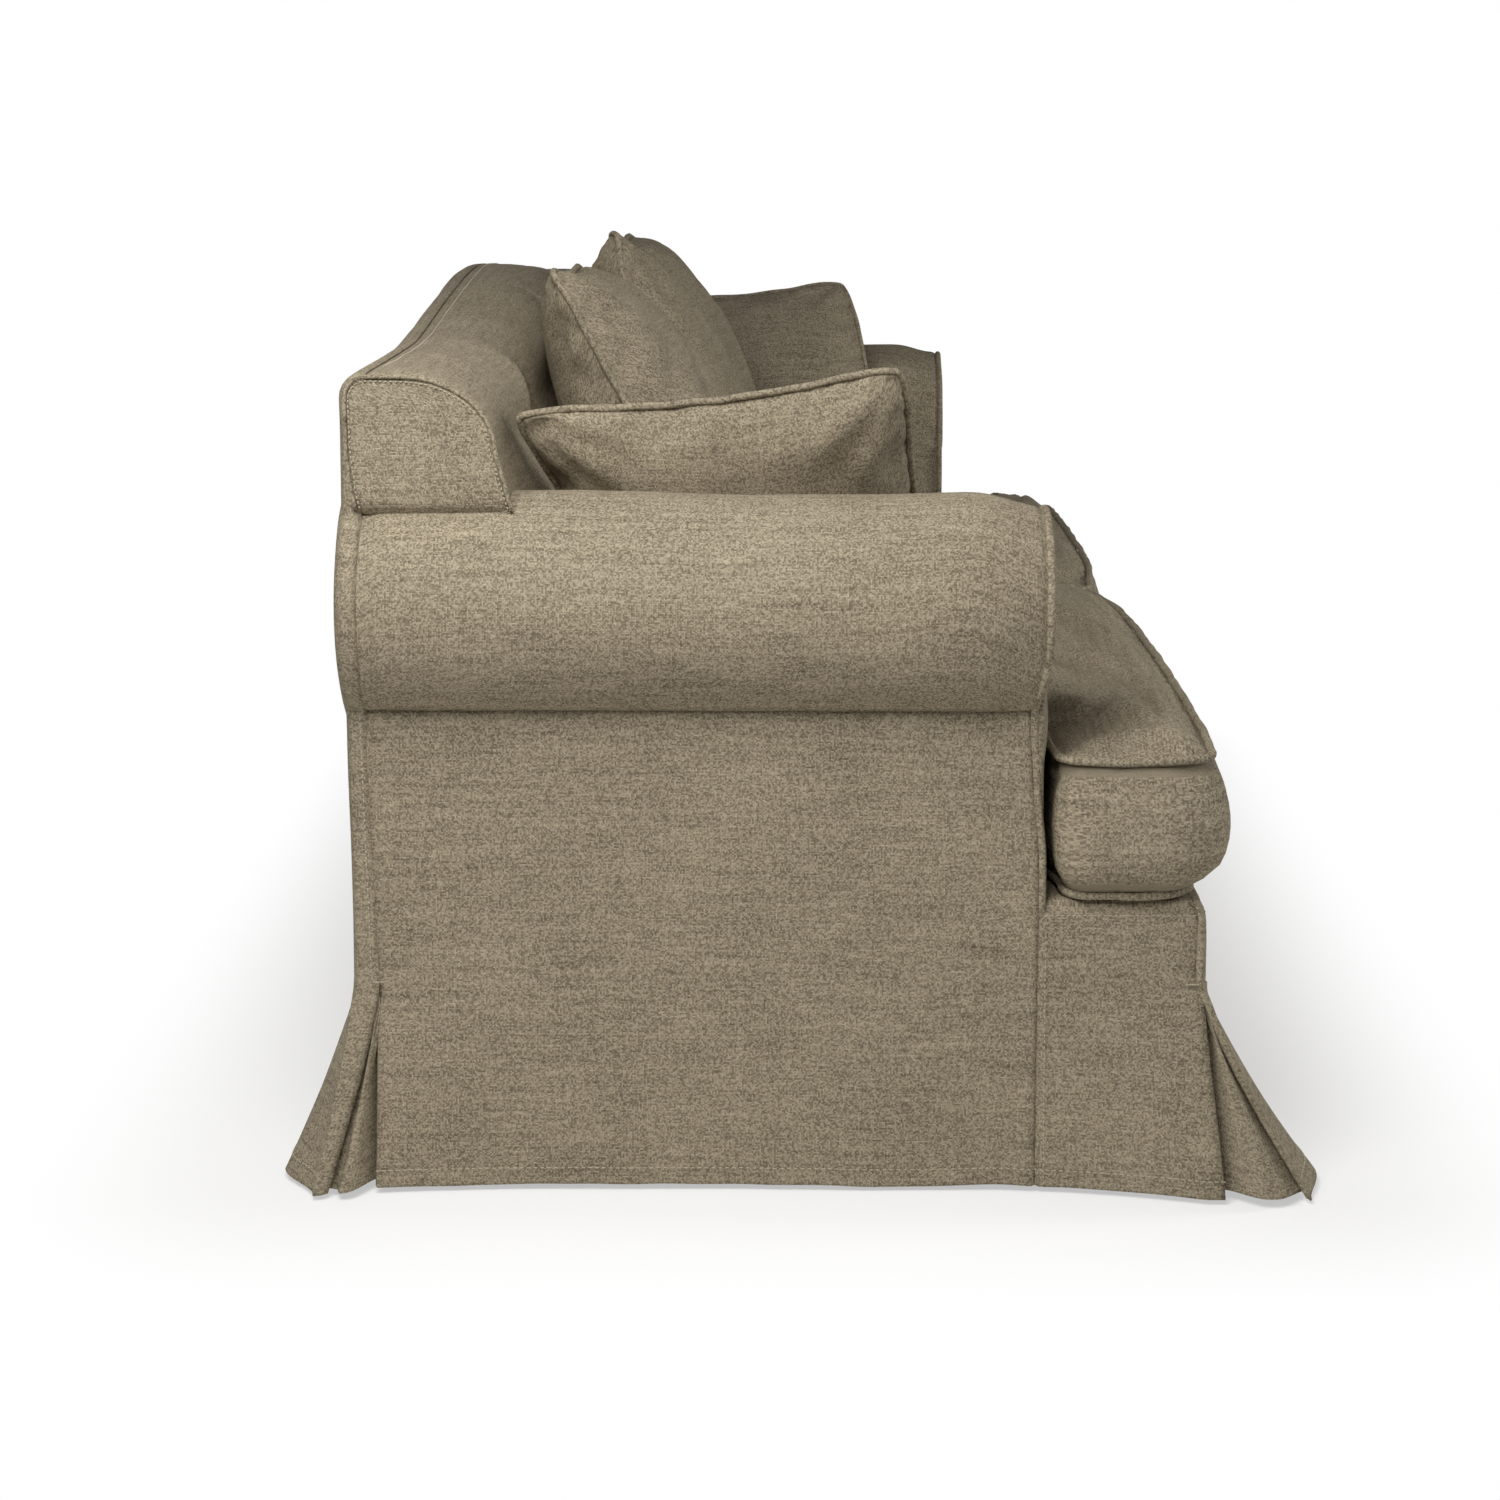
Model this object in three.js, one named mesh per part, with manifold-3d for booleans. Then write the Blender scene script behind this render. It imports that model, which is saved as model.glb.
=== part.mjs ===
// Slipcovered camelback sofa with rolled arms, T-shaped seat cushions and scatter pillows.
// Millimetres, +Z up. The front faces -Y and the left arm, seen from the front, is at -X.
// The origin is on the floor, under the middle of the sofa's box.
import * as THREE from "three";
import { mergeVertices } from "three/addons/utils/BufferGeometryUtils.js";
import Module from "manifold-3d";

const wasm = await Module();
wasm.setup();

// Overall sizes
const sofaLength = 2200; // over both arm rolls
const baseDepth = 804; // base front to outside back
const deckHeight = 283; // floor to the cloth platform under the cushions

// Arms
const armHeight = 660; // floor to the top of the roll
const armLength = 648; // facing to outside back
const armWidth = 205; // outermost line of the roll to the inside arm
const rollDiameter = 212;
const panelInset = 50; // outside arm panel, in from the roll's outermost line

// Back
const backEndHeight = 775; // floor to the top of the back over an arm
const camelRise = 52; // the middle of the camel line over its ends
const camelHalfSpan = 640; // middle to where the hump runs out
const camelPower = 1.45; // how full the hump is
const camelEaseShare = 0.15; // how softly the hump runs out
const rearEdgeRadius = 24;
const backCrestDepth = 58; // outside back to the crest
const backShoulderDepth = 86; // crest to where the inside back turns down
const backShoulderDrop = 70;
const backRakeShare = 0.21; // forward run of the inside back for each unit of drop
const backBulge = 18; // fullness of the inside back between the arms
const bulgeRun = 240; // from an end of the back to its full bulge

// Cloth, padding and clearances
const clothThickness = 2.5;
const seamGap = 0.4; // between neighbouring pieces
const armPad = 24;
const backTopPad = 22;
const backEndPad = 12;
const deckPadThickness = 20;
const overrun = 60; // how far a cut runs past what it cuts
const weldTolerance = 1e-3; // corners closer than this are one corner

// Skirt
const hemHeight = 5;
const pleatRise = 200; // floor to the tip of a corner pleat
const frontKick = 115; // how far the front panel flares at its corners
const rearKick = 75;
const skirtFall = 18; // flare of the front and back panels away from the corners
const kickRun = 500; // from a corner to where the flare has run out
const endSpread = 43; // how far the front and back panels spread sideways at the hem
const sideKickFront = 46;
const sideKickRear = 25;
const sideFall = 8;
const sideKickRun = 210;
const sideFrontSlant = 22; // forward lean of the side panel's front edge
const sideRearSlant = 17;
const gussetTuck = 36; // how far a gusset reaches behind the panels beside it
const gussetDip = 9; // depth of the crease on each side of a gusset
const gussetGap = 1.5; // between a gusset and the panels it hangs behind

// Timber
const railThickness = 30;
const railHeight = 120;
const postWidth = 45;
const boardThickness = 22;
const lowerRailHeight = 60;
const armRailThickness = 25;
const topRailHeight = 80; // at the ends; the camel line adds to it
const rollFormerDepth = 30;
const centreRailDrop = 30; // top of the centre rail under the other rails
const blockLeg = 110;
const blockHeight = 60;
const timberChamfer = 3;
const footTopRadius = 26;
const footBottomRadius = 17;
const footSides = 12;
const footSwell = 0.7; // under 1 fills the taper out
const footCollar = 14; // height of the straight collar at a foot's top
const footSetback = 42; // foot's axis to the inner faces of the rails

// Springs
const wireDiameter = 3.6;
const springWidth = 52;
const springCount = 6;
const springBends = 11;
const stepsPerBend = 4;

// Seat cushions
const cushionFront = 388; // sofa's middle to the front edge
const boxLift = 7; // deck to the lower welt
const boxHeight = 127; // from welt to welt
const cushionCrown = 53;
const crownRun = 230; // from an edge to the flat of the crown
const weltRadius = 4;
const boxBulge = 11;
const bottomRun = 45; // width of the underside's rounded edge
const earClearance = 2; // to the arm facing and to the inside arm
const cornerRadius = 38;

// Pillows
const backPillowSize = 434;
const armPillowSize = 356;
const pillowPlumpShare = 0.4; // thickness over size
const pillowDrawInShare = 0.06; // how far the middle of a side is drawn in
const pillowSlumpShare = 0.22; // how much fuller the bottom is than the top
const pillowWelt = 3.5;
const pillowFullness = 0.42; // under 1 fills the pillow out towards its edge
const leftPillowLean = 27; // degrees from upright
const centrePillowLean = 20;
const rightPillowLean = 21;
const armPillowLean = 34;
const armPillowTurn = 9; // degrees, its rear end outwards
const armPillowSkew = 0.16; // how far its top slumps back against the raked inside back
const armPillowTilt = 5; // degrees, its front end up
const pillowGap = 0.8; // between the back pillows
const restGap = 0.6; // where a pillow comes to rest against something
const armPillowStartY = -220; // where an arm pillow is dropped before it is pushed home

// Places that follow from the sizes above
const halfLength = sofaLength / 2;
const rearY = (baseDepth + frontKick + rearKick) / 2 - rearKick;
const baseFrontY = rearY - baseDepth;
const armFrontY = rearY - armLength;
const rollRadius = rollDiameter / 2;
const rollX = halfLength - rollRadius;
const rollZ = armHeight - rollRadius;
const panelX = halfLength - panelInset;
const innerX = halfLength - armWidth;
const seamZ = rollZ - Math.sqrt(rollRadius ** 2 - (panelX - rollX) ** 2);
const skin = clothThickness + seamGap; // outer face to the piece under the cloth
const frameX = panelX - skin;
const frameRearY = rearY - skin;
const frameFrontY = frameRearY - postWidth;
const boardInset = skin + armPad + seamGap;
const backFrameX = frameX - backEndPad - seamGap;
const topRailInset = skin + backTopPad + seamGap;
const topRailBottom = backEndHeight - topRailInset - topRailHeight;
const deckUnder = deckHeight - clothThickness - seamGap;
const springTop = deckUnder - deckPadThickness - seamGap;
const railTop = springTop - wireDiameter - seamGap;
const railBottom = railTop - railHeight;
const baseFrameFrontY = baseFrontY + skin;
const armBoardRearY = armFrontY + skin + boardThickness;
const armInnerEdge = innerX + boardInset;
const onDeck = deckHeight + seamGap;
const boxBottom = deckHeight + boxLift;
const boxTop = boxBottom + boxHeight;
const springPitch = (2 * innerX) / springCount; // between neighbouring springs
const sideSeamY = armFrontY + clothThickness; // seam between the arm's side and the base's side

// Colours and finishes seen in the photograph, and plain ones for what it hides
const finish = (color, roughness, metalness) =>
  new THREE.MeshStandardMaterial({ color, roughness, metalness });
const coverLinen = () => finish("#8c8471", 0.92, 0);
const cushionLinen = () => finish("#8f8773", 0.92, 0);
const pillowLinen = () => finish("#877f6b", 0.92, 0);
const platformCloth = () => finish("#b7ad98", 0.95, 0);
const padding = () => finish("#ddd8ca", 1, 0);
const timber = () => finish("#c4a277", 0.7, 0);
const springSteel = () => finish("#6b6d70", 0.4, 0.9);

const group = new THREE.Group();

// Meshes, solids and the two ways between them
function volumeOf(points, faces) {
  let six = 0;
  for (const [a, b, c] of faces) {
    six += points[a].dot(new THREE.Vector3().crossVectors(points[b], points[c]));
  }
  return six / 6;
}

function closedGeometry(points, faces) {
  const inward = volumeOf(points, faces) < 0;
  const geometry = new THREE.BufferGeometry().setFromPoints(points);
  geometry.setIndex(faces.flatMap(([a, b, c]) => (inward ? [a, c, b] : [a, b, c])));
  return geometry;
}

function asSolid(geometry) {
  const bare = geometry.clone();
  bare.deleteAttribute("normal");
  bare.deleteAttribute("uv");
  const merged = mergeVertices(bare, weldTolerance);
  return new wasm.Manifold(
    new wasm.Mesh({
      numProp: 3,
      vertProperties: merged.attributes.position.array,
      triVerts: new Uint32Array(merged.index.array),
    }),
  );
}

function asGeometry(solid) {
  const { numProp, vertProperties, triVerts } = solid.getMesh();
  const points = [];
  for (let i = 0; i < vertProperties.length; i += numProp) {
    points.push(new THREE.Vector3().fromArray(vertProperties, i));
  }
  return new THREE.BufferGeometry().setFromPoints(points).setIndex([...triVerts]);
}

function addPiece(name, shape, material) {
  const geometry = shape.isBufferGeometry ? shape : asGeometry(shape);
  geometry.computeVertexNormals();
  const mesh = new THREE.Mesh(geometry, material);
  mesh.name = name;
  group.add(mesh);
}

// The same solid on the other side of the sofa
const mirrored = (solid) => solid.mirror([1, 0, 0]);

function addPair(name, rightSolid, material) {
  addPiece(name + "_left", mirrored(rightSolid), material());
  addPiece(name + "_right", rightSolid, material());
}

function box(x0, x1, y0, y1, z0, z1) {
  const geometry = new THREE.BoxGeometry(x1 - x0, y1 - y0, z1 - z0);
  geometry.translate((x0 + x1) / 2, (y0 + y1) / 2, (z0 + z1) / 2);
  return asSolid(geometry);
}

// An outline drawn in X and Z, extruded from y0 to y1
function alongY(shape, y0, y1, curveSegments = 10) {
  const geometry = new THREE.ExtrudeGeometry(shape, {
    depth: y1 - y0,
    bevelEnabled: false,
    curveSegments,
  });
  geometry.rotateX(Math.PI / 2);
  geometry.translate(0, y1, 0);
  return asSolid(geometry);
}

// An outline drawn in X and Y, extruded from z0 to z1
function alongZ(shape, z0, z1) {
  const geometry = new THREE.ExtrudeGeometry(shape, { depth: z1 - z0, bevelEnabled: false });
  geometry.translate(0, 0, z0);
  return asSolid(geometry);
}

// A sawn timber with its four long edges chamfered, from one corner to the other
function plank(low, high) {
  const size = new THREE.Vector3().subVectors(high, low);
  const middle = new THREE.Vector3().addVectors(low, high).multiplyScalar(0.5);
  const long = Math.max(size.x, size.y, size.z);
  const axis = long === size.x ? "x" : long === size.y ? "y" : "z";
  const [w, h] = { x: [size.z, size.y], y: [size.x, size.z], z: [size.x, size.y] }[axis];
  const c = timberChamfer;
  const shape = new THREE.Shape();
  shape.moveTo(-w / 2 + c, -h / 2);
  shape.lineTo(w / 2 - c, -h / 2);
  shape.lineTo(w / 2, -h / 2 + c);
  shape.lineTo(w / 2, h / 2 - c);
  shape.lineTo(w / 2 - c, h / 2);
  shape.lineTo(-w / 2 + c, h / 2);
  shape.lineTo(-w / 2, h / 2 - c);
  shape.lineTo(-w / 2, -h / 2 + c);
  const geometry = new THREE.ExtrudeGeometry(shape, { depth: long, bevelEnabled: false });
  geometry.translate(0, 0, -long / 2);
  if (axis === "x") geometry.rotateY(Math.PI / 2);
  if (axis === "y") geometry.rotateX(Math.PI / 2);
  geometry.translate(middle.x, middle.y, middle.z);
  return asSolid(geometry);
}

// Rings of points with the same count, joined in order and closed at both ends.
// flat turns a ring's point into the two coordinates that its end cap is drawn in.
function lofted(rings, flat) {
  const count = rings[0].length;
  const points = rings.flat();
  const faces = [];
  for (let r = 0; r + 1 < rings.length; r++) {
    for (let i = 0; i < count; i++) {
      const a = r * count + i;
      const b = r * count + ((i + 1) % count);
      faces.push([a, b, b + count], [a, b + count, a + count]);
    }
  }
  const last = (rings.length - 1) * count;
  for (const [a, b, c] of THREE.ShapeUtils.triangulateShape(rings[0].map(flat), [])) {
    faces.push([a, c, b], [last + a, last + b, last + c]);
  }
  return asSolid(closedGeometry(points, faces));
}

// Index of each point on a grid's rim, going once round it
function rimOf(rows, columns) {
  const rim = [];
  for (let j = 0; j < columns - 1; j++) rim.push([0, j]);
  for (let i = 0; i < rows - 1; i++) rim.push([i, columns - 1]);
  for (let j = columns - 1; j > 0; j--) rim.push([rows - 1, j]);
  for (let i = rows - 1; i > 0; i--) rim.push([i, 0]);
  return rim;
}

// A closed skin of two grids with the same rows and columns, and bands of rim points between them
function skinned(front, back, bands = []) {
  const rows = front.length;
  const columns = front[0].length;
  const points = [...front.flat(), ...back.flat(), ...bands.flat()];
  const faces = [];
  const each = rows * columns;
  for (let i = 0; i + 1 < rows; i++) {
    for (let j = 0; j + 1 < columns; j++) {
      const a = i * columns + j;
      const [b, c, d] = [a + 1, a + columns + 1, a + columns];
      faces.push([a, b, c], [a, c, d]);
      faces.push([each + a, each + c, each + b], [each + a, each + d, each + c]);
    }
  }
  const rim = rimOf(rows, columns).map(([i, j]) => i * columns + j);
  const loops = [rim];
  bands.forEach((band, k) => loops.push(band.map((_, n) => 2 * each + k * band.length + n)));
  loops.push(rim.map((index) => each + index));
  for (let k = 0; k + 1 < loops.length; k++) {
    rim.forEach((_, n) => {
      const m = (n + 1) % rim.length;
      const [a, b, c, d] = [loops[k][n], loops[k][m], loops[k + 1][m], loops[k + 1][n]];
      faces.push([a, c, b], [a, d, c]);
    });
  }
  return asSolid(closedGeometry(points, faces));
}

// Interpolates a table of shares smoothly
function between(places, values, share) {
  if (share >= places.at(-1)) return values.at(-1);
  const i = Math.max(1, places.findIndex((place) => place > share));
  const t = (share - places[i - 1]) / (places[i] - places[i - 1]);
  return THREE.MathUtils.lerp(values[i - 1], values[i], t * t * (3 - 2 * t));
}

const spread = (low, high, shares) => shares.map((share) => low + (high - low) * share);

// Height of the camel line at a place along the sofa
function camelTop(x) {
  const hump = 1 - (Math.abs(x) / camelHalfSpan) ** camelPower;
  const soft = (hump + Math.sqrt(hump ** 2 + camelEaseShare ** 2)) / 2;
  return backEndHeight + camelRise * soft;
}

// How far forward the inside back bulges, at a place along the sofa
function bulgeAt(x) {
  return backBulge * THREE.MathUtils.smoothstep(panelX - Math.abs(x), 0, bulgeRun);
}

// The inside back's face between its shoulder and the deck: upright in the hump, raked under it
function insideBackY(x, z) {
  const drop = camelTop(x) - backShoulderDrop - z;
  const full = Math.min(1, drop / backShoulderDrop);
  const raked = Math.max(0, backEndHeight - backShoulderDrop - z);
  return rearY - backCrestDepth - backShoulderDepth - backRakeShare * raked - bulgeAt(x) * full;
}

// The back's section at a place along the sofa, drawn in by an inset
const rearEdgeShares = [0, 0.33, 0.67, 1];
const crestShares = [0, 0.2, 0.4, 0.6, 0.8, 1];
const insideBackShares = [0.12, 0.24, 0.6, 1];
function backSection(x, inset, bottom) {
  const top = camelTop(x);
  const rear = rearY - inset;
  const edge = rearEdgeRadius - inset;
  const shoulderZ = top - backShoulderDrop;
  const points = [[rear, bottom]];
  for (const angle of spread(0, Math.PI / 2, rearEdgeShares)) {
    const y = rearY - rearEdgeRadius + edge * Math.cos(angle);
    points.push([y, top - rearEdgeRadius + edge * Math.sin(angle)]);
  }
  for (const angle of spread(Math.PI / 2, Math.PI, crestShares)) {
    const y = rearY - backCrestDepth + (backShoulderDepth - inset) * Math.cos(angle);
    points.push([y, shoulderZ + (backShoulderDrop - inset) * Math.sin(angle)]);
  }
  for (const z of spread(shoulderZ, onDeck, insideBackShares)) {
    points.push([insideBackY(x, z) + inset, z]);
  }
  if (bottom < onDeck) points.push([insideBackY(x, onDeck) + inset, bottom]);
  return points.map(([y, z]) => new THREE.Vector3(x, y, z));
}

// The whole back as one form, from end to end
const backStationShares = [0.07, 0.15, 0.23, 0.33, 0.42, 0.5, 0.58, 0.67, 0.77, 0.85, 0.93];
function backForm(inset, bottom) {
  const end = panelX - inset;
  const stations = [-end, ...spread(-panelX, panelX, backStationShares), end];
  const rings = stations.map((x) => backSection(x, inset, bottom));
  return lofted(rings, (p) => new THREE.Vector2(p.y, p.z));
}

// The right arm's outline, drawn in by an inset, down to a bottom edge
function armShape(inset, bottom) {
  const r = rollRadius - inset;
  const inner = Math.PI + Math.acos((rollX - innerX - inset) / r);
  const outer = -Math.acos((panelX - inset - rollX) / r);
  const shape = new THREE.Shape();
  shape.moveTo(panelX - inset, bottom);
  shape.lineTo(innerX + inset, bottom);
  shape.absarc(rollX, rollZ, r, inner, outer, true);
  return shape;
}

const armSolid = (inset, bottom, y0, y1) => alongY(armShape(inset, bottom), y0, y1);

// Everything the two arms fill, with the clearance that the back keeps to them
function armRoom() {
  const right = armSolid(-seamGap, -overrun, armFrontY - overrun, rearY + overrun);
  return right.add(mirrored(right));
}

// The room that the back post and the lower back rail need where they pass through the arm
function postRoom() {
  const x0 = backFrameX - postWidth - seamGap;
  const x1 = backFrameX + seamGap;
  const y0 = frameFrontY - seamGap;
  const y1 = rearY + overrun;
  const railRoomTop = onDeck + lowerRailHeight + seamGap;
  const post = box(x0, x1, y0, y1, 0, armHeight + overrun);
  return post.add(box(0, x1, y0, y1, 0, railRoomTop));
}

// The outside of the arm under the roll, where the cloth hangs free of padding
function outsideArmRoom() {
  return box(rollX, halfLength + overrun, armFrontY - overrun, rearY + overrun, 0, seamZ);
}

function addArms() {
  const y0 = armFrontY + skin;
  const y1 = rearY - skin;
  const through = [armFrontY - overrun, rearY + overrun];
  const cover = armSolid(0, onDeck, y0, y1)
    .subtract(armSolid(clothThickness, -overrun, ...through))
    .subtract(outsideArmRoom())
    .subtract(postRoom());
  addPair("arm_cover", cover, coverLinen);

  addPair("arm_facing", armSolid(0, onDeck, armFrontY, armFrontY + clothThickness), coverLinen);

  const pad = armSolid(skin, onDeck, y0, y1)
    .subtract(armSolid(skin + armPad, -overrun, ...through))
    .subtract(outsideArmRoom())
    .subtract(postRoom());
  addPair("arm_padding", pad, padding);

  const legZ = [railTop + seamGap, seamZ - seamGap];
  const board = armSolid(boardInset, railTop + seamGap, y0, armBoardRearY)
    .add(box(rollX, frameX, y0, armBoardRearY, ...legZ));
  addPair("arm_front_board", board, timber);

  const formerTop = armHeight - boardInset;
  const formerRoom = box(
    innerX,
    halfLength,
    armBoardRearY + seamGap,
    frameFrontY - seamGap,
    formerTop - rollFormerDepth,
    armHeight,
  );
  addPair("arm_roll_former", armSolid(boardInset, 0, ...through).intersect(formerRoom), timber);

  const low = new THREE.Vector3(armInnerEdge, armBoardRearY + seamGap, onDeck);
  const high = new THREE.Vector3(
    armInnerEdge + armRailThickness,
    frameFrontY - seamGap,
    onDeck + lowerRailHeight,
  );
  addPair("arm_lower_rail", plank(low, high), timber);
}

// Slab that the outside back panel fills, and the clearance in front of it
const rearSlab = (gap) =>
  box(-sofaLength, sofaLength, rearY - clothThickness - gap, rearY + overrun, -overrun, sofaLength);

function addBack() {
  const arms = armRoom();
  const ends = box(-frameX, frameX, baseFrontY - overrun, rearY, onDeck, sofaLength);
  const cover = backForm(0, onDeck)
    .subtract(backForm(clothThickness, onDeck - overrun))
    .subtract(arms)
    .subtract(rearSlab(seamGap))
    .intersect(ends);
  addPiece("inside_back_cover", cover, coverLinen());

  const endSlab = box(
    panelX - clothThickness,
    panelX,
    baseFrontY,
    rearY - skin,
    rollZ,
    sofaLength,
  );
  const boxing = backForm(0, onDeck).intersect(endSlab).subtract(arms);
  addPair("back_end_boxing", boxing, coverLinen);

  const cavityShape = camelShape(backFrameX + seamGap, onDeck - overrun, topRailInset - seamGap);
  const cavity = alongY(cavityShape, frameFrontY - seamGap, rearY + overrun);
  const pad = backForm(skin, onDeck).subtract(cavity).subtract(arms);
  addPiece("back_padding", pad, padding());
}

// An outline under the camel line, between two ends
const camelStations = 16;
function camelShape(end, bottom, inset) {
  const shape = new THREE.Shape();
  shape.moveTo(-end, bottom);
  for (let i = 0; i <= camelStations; i++) {
    const x = -end + (2 * end * i) / camelStations;
    shape.lineTo(x, camelTop(x) - inset);
  }
  shape.lineTo(end, bottom);
  return shape;
}

function addBackFrame() {
  const rail = camelShape(backFrameX, topRailBottom, topRailInset);
  addPiece("back_top_rail", alongY(rail, frameFrontY, frameRearY), timber());

  const postLow = new THREE.Vector3(backFrameX - postWidth, frameFrontY, railTop + seamGap);
  const postHigh = new THREE.Vector3(backFrameX, frameRearY, topRailBottom - seamGap);
  addPair("back_post", plank(postLow, postHigh), timber);

  const lowerEnd = backFrameX - postWidth - seamGap;
  const lowerTop = onDeck + lowerRailHeight;
  const lowerRail = plank(
    new THREE.Vector3(-lowerEnd, frameFrontY, onDeck),
    new THREE.Vector3(lowerEnd, frameRearY, lowerTop),
  );
  addPiece("back_lower_rail", lowerRail, timber());

  const centrePost = plank(
    new THREE.Vector3(-postWidth / 2, frameFrontY, lowerTop + seamGap),
    new THREE.Vector3(postWidth / 2, frameRearY, topRailBottom - seamGap),
  );
  addPiece("back_post_centre", centrePost, timber());
}

// The seat frame's rails, corner blocks and feet
function addSeatFrame() {
  const at = (x, y, z) => new THREE.Vector3(x, y, z);
  const frontInner = baseFrameFrontY + railThickness;
  const rearInner = frameRearY - railThickness;
  const front = plank(at(-frameX, baseFrameFrontY, railBottom), at(frameX, frontInner, railTop));
  addPiece("seat_rail_front", front, timber());
  const rear = plank(at(-frameX, rearInner, railBottom), at(frameX, frameRearY, railTop));
  addPiece("seat_rail_rear", rear, timber());

  const [y0, y1] = [frontInner + seamGap, rearInner - seamGap];
  const side = plank(at(frameX - railThickness, y0, railBottom), at(frameX, y1, railTop));
  addPair("seat_rail", side, timber);
  const half = railThickness / 2;
  const centreTop = railTop - centreRailDrop;
  const centre = plank(at(-half, y0, railBottom), at(half, y1, centreTop));
  addPiece("seat_rail_centre", centre, timber());

  const innerSide = frameX - railThickness - seamGap;
  for (const [name, y, inward] of [
    ["front", y0, 1],
    ["rear", y1, -1],
  ]) {
    const shape = new THREE.Shape();
    shape.moveTo(innerSide, y);
    shape.lineTo(innerSide, y + inward * blockLeg);
    shape.lineTo(innerSide - blockLeg, y);
    const block = alongZ(shape, railBottom, railBottom + blockHeight);
    addPair("corner_block_" + name, block, timber);
    addPair("foot_" + name, foot(innerSide - footSetback, y + inward * footSetback), timber);
  }
  addPiece("foot_centre", foot(0, (y0 + y1) / 2), timber());
}

// A turned foot: a straight collar and a taper with a slight swell
function foot(x, y) {
  const top = railBottom - seamGap;
  const collarZ = top - footCollar;
  const taperShares = [0, 0.35, 0.7, 1];
  const points = [new THREE.Vector2(0, 0)];
  for (const share of taperShares) {
    const radius = THREE.MathUtils.lerp(footBottomRadius, footTopRadius, share ** footSwell);
    points.push(new THREE.Vector2(radius, collarZ * share));
  }
  points.push(new THREE.Vector2(footTopRadius, top));
  points.push(new THREE.Vector2(0, top));
  const geometry = new THREE.LatheGeometry(points, footSides);
  geometry.rotateX(Math.PI / 2);
  geometry.translate(x, y, 0);
  return asSolid(geometry);
}

// The deck's outline: full width in front of the arms, narrower between them
function deckShape(wide, narrow, y0, notchY, y1) {
  const shape = new THREE.Shape();
  shape.moveTo(-wide, y0);
  shape.lineTo(wide, y0);
  shape.lineTo(wide, notchY);
  shape.lineTo(narrow, notchY);
  shape.lineTo(narrow, y1);
  shape.lineTo(-narrow, y1);
  shape.lineTo(-narrow, notchY);
  shape.lineTo(-wide, notchY);
  return shape;
}

function addDeck() {
  const narrow = armInnerEdge - seamGap;
  const notchY = sideSeamY;
  const y1 = frameFrontY - seamGap;
  const cover = deckShape(panelX, narrow, baseFrontY, notchY, y1);
  addPiece("deck_cover", alongZ(cover, deckHeight - clothThickness, deckHeight), platformCloth());
  const pad = deckShape(frameX, narrow, baseFrameFrontY, notchY, y1);
  addPiece("deck_pad", alongZ(pad, deckUnder - deckPadThickness, deckUnder), padding());
}

// The centre line of a sinuous spring: a zigzag that starts and ends straight
class Zigzag extends THREE.Curve {
  constructor(x, y0, y1) {
    super();
    Object.assign(this, { x, y0, y1 });
  }

  getPoint(t, target = new THREE.Vector3()) {
    const ease = Math.min(1, t * springBends, (1 - t) * springBends);
    const swing = Math.sin(Math.PI * springBends * t) * ease;
    const x = this.x + ((springWidth - wireDiameter) / 2) * swing;
    return target.set(x, THREE.MathUtils.lerp(this.y0, this.y1, t), springTop - wireDiameter / 2);
  }
}

function addSprings() {
  const wire = new THREE.Shape();
  const r = wireDiameter / 2;
  wire.moveTo(r, 0);
  for (const angle of [Math.PI / 2, Math.PI, (3 * Math.PI) / 2]) {
    wire.lineTo(r * Math.cos(angle), r * Math.sin(angle));
  }
  const y0 = baseFrameFrontY + railThickness / 2;
  const y1 = frameRearY - railThickness / 2;
  for (let i = 0; i < springCount; i++) {
    const path = new Zigzag((i - (springCount - 1) / 2) * springPitch, y0, y1);
    const options = { steps: stepsPerBend * springBends, bevelEnabled: false, extrudePath: path };
    addPiece("seat_spring_" + (i + 1), new THREE.ExtrudeGeometry(wire, options), springSteel());
  }
}

// How far down its pleat a point is, from none at the tip to 1 at the hem
const downPleat = (z) => Math.max(0, (pleatRise - z) / (pleatRise - hemHeight));
const skirtRowShares = [0.25, 0.5, 0.75, 1];
const skirtRows = spread(pleatRise, hemHeight, skirtRowShares);

// Flare of the front or back panel at the hem, from its corner inwards
const kickPlaceShares = [0, 0.14, 0.58, 1];
const frontKickShares = [0.85, 1, 0.52, 0];
const rearKickShares = [0.36, 1, 0.6, 0];
function kickAt(share, full, kickShares) {
  const inFromCorner = ((1 - Math.abs(share)) * panelX) / kickRun;
  return skirtFall + (full - skirtFall) * between(kickPlaceShares, kickShares, inFromCorner);
}

// Outer face of the front (-1) or back (+1) panel, at a share of its half length and a height
function longPanelPoint(way, share, z) {
  const down = downPleat(z);
  const [y, full, shares] =
    way < 0 ? [baseFrontY, frontKick, frontKickShares] : [rearY, rearKick, rearKickShares];
  const x = share * (panelX + endSpread * down);
  return new THREE.Vector3(x, y + way * kickAt(share, full, shares) * down, z);
}

// Outer face of the right side at a place along it and a height
function sidePanelPoint(y, z) {
  const toFront = Math.min(1, (y - baseFrontY) / sideKickRun);
  const toRear = Math.min(1, (rearY - y) / sideKickRun);
  const front = (sideKickFront - sideFall) * (1 - Math.max(0, toFront)) ** 2;
  const rear = (sideKickRear - sideFall) * (1 - Math.max(0, toRear)) ** 2;
  return new THREE.Vector3(panelX + (sideFall + front + rear) * downPleat(z), y, z);
}

// A cloth panel from the points of its outer face, thickened by one cloth along a direction
function clothPanel(outer, inward) {
  const step = inward.clone().multiplyScalar(clothThickness);
  return skinned(outer, outer.map((row) => row.map((p) => p.clone().add(step))));
}

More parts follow.
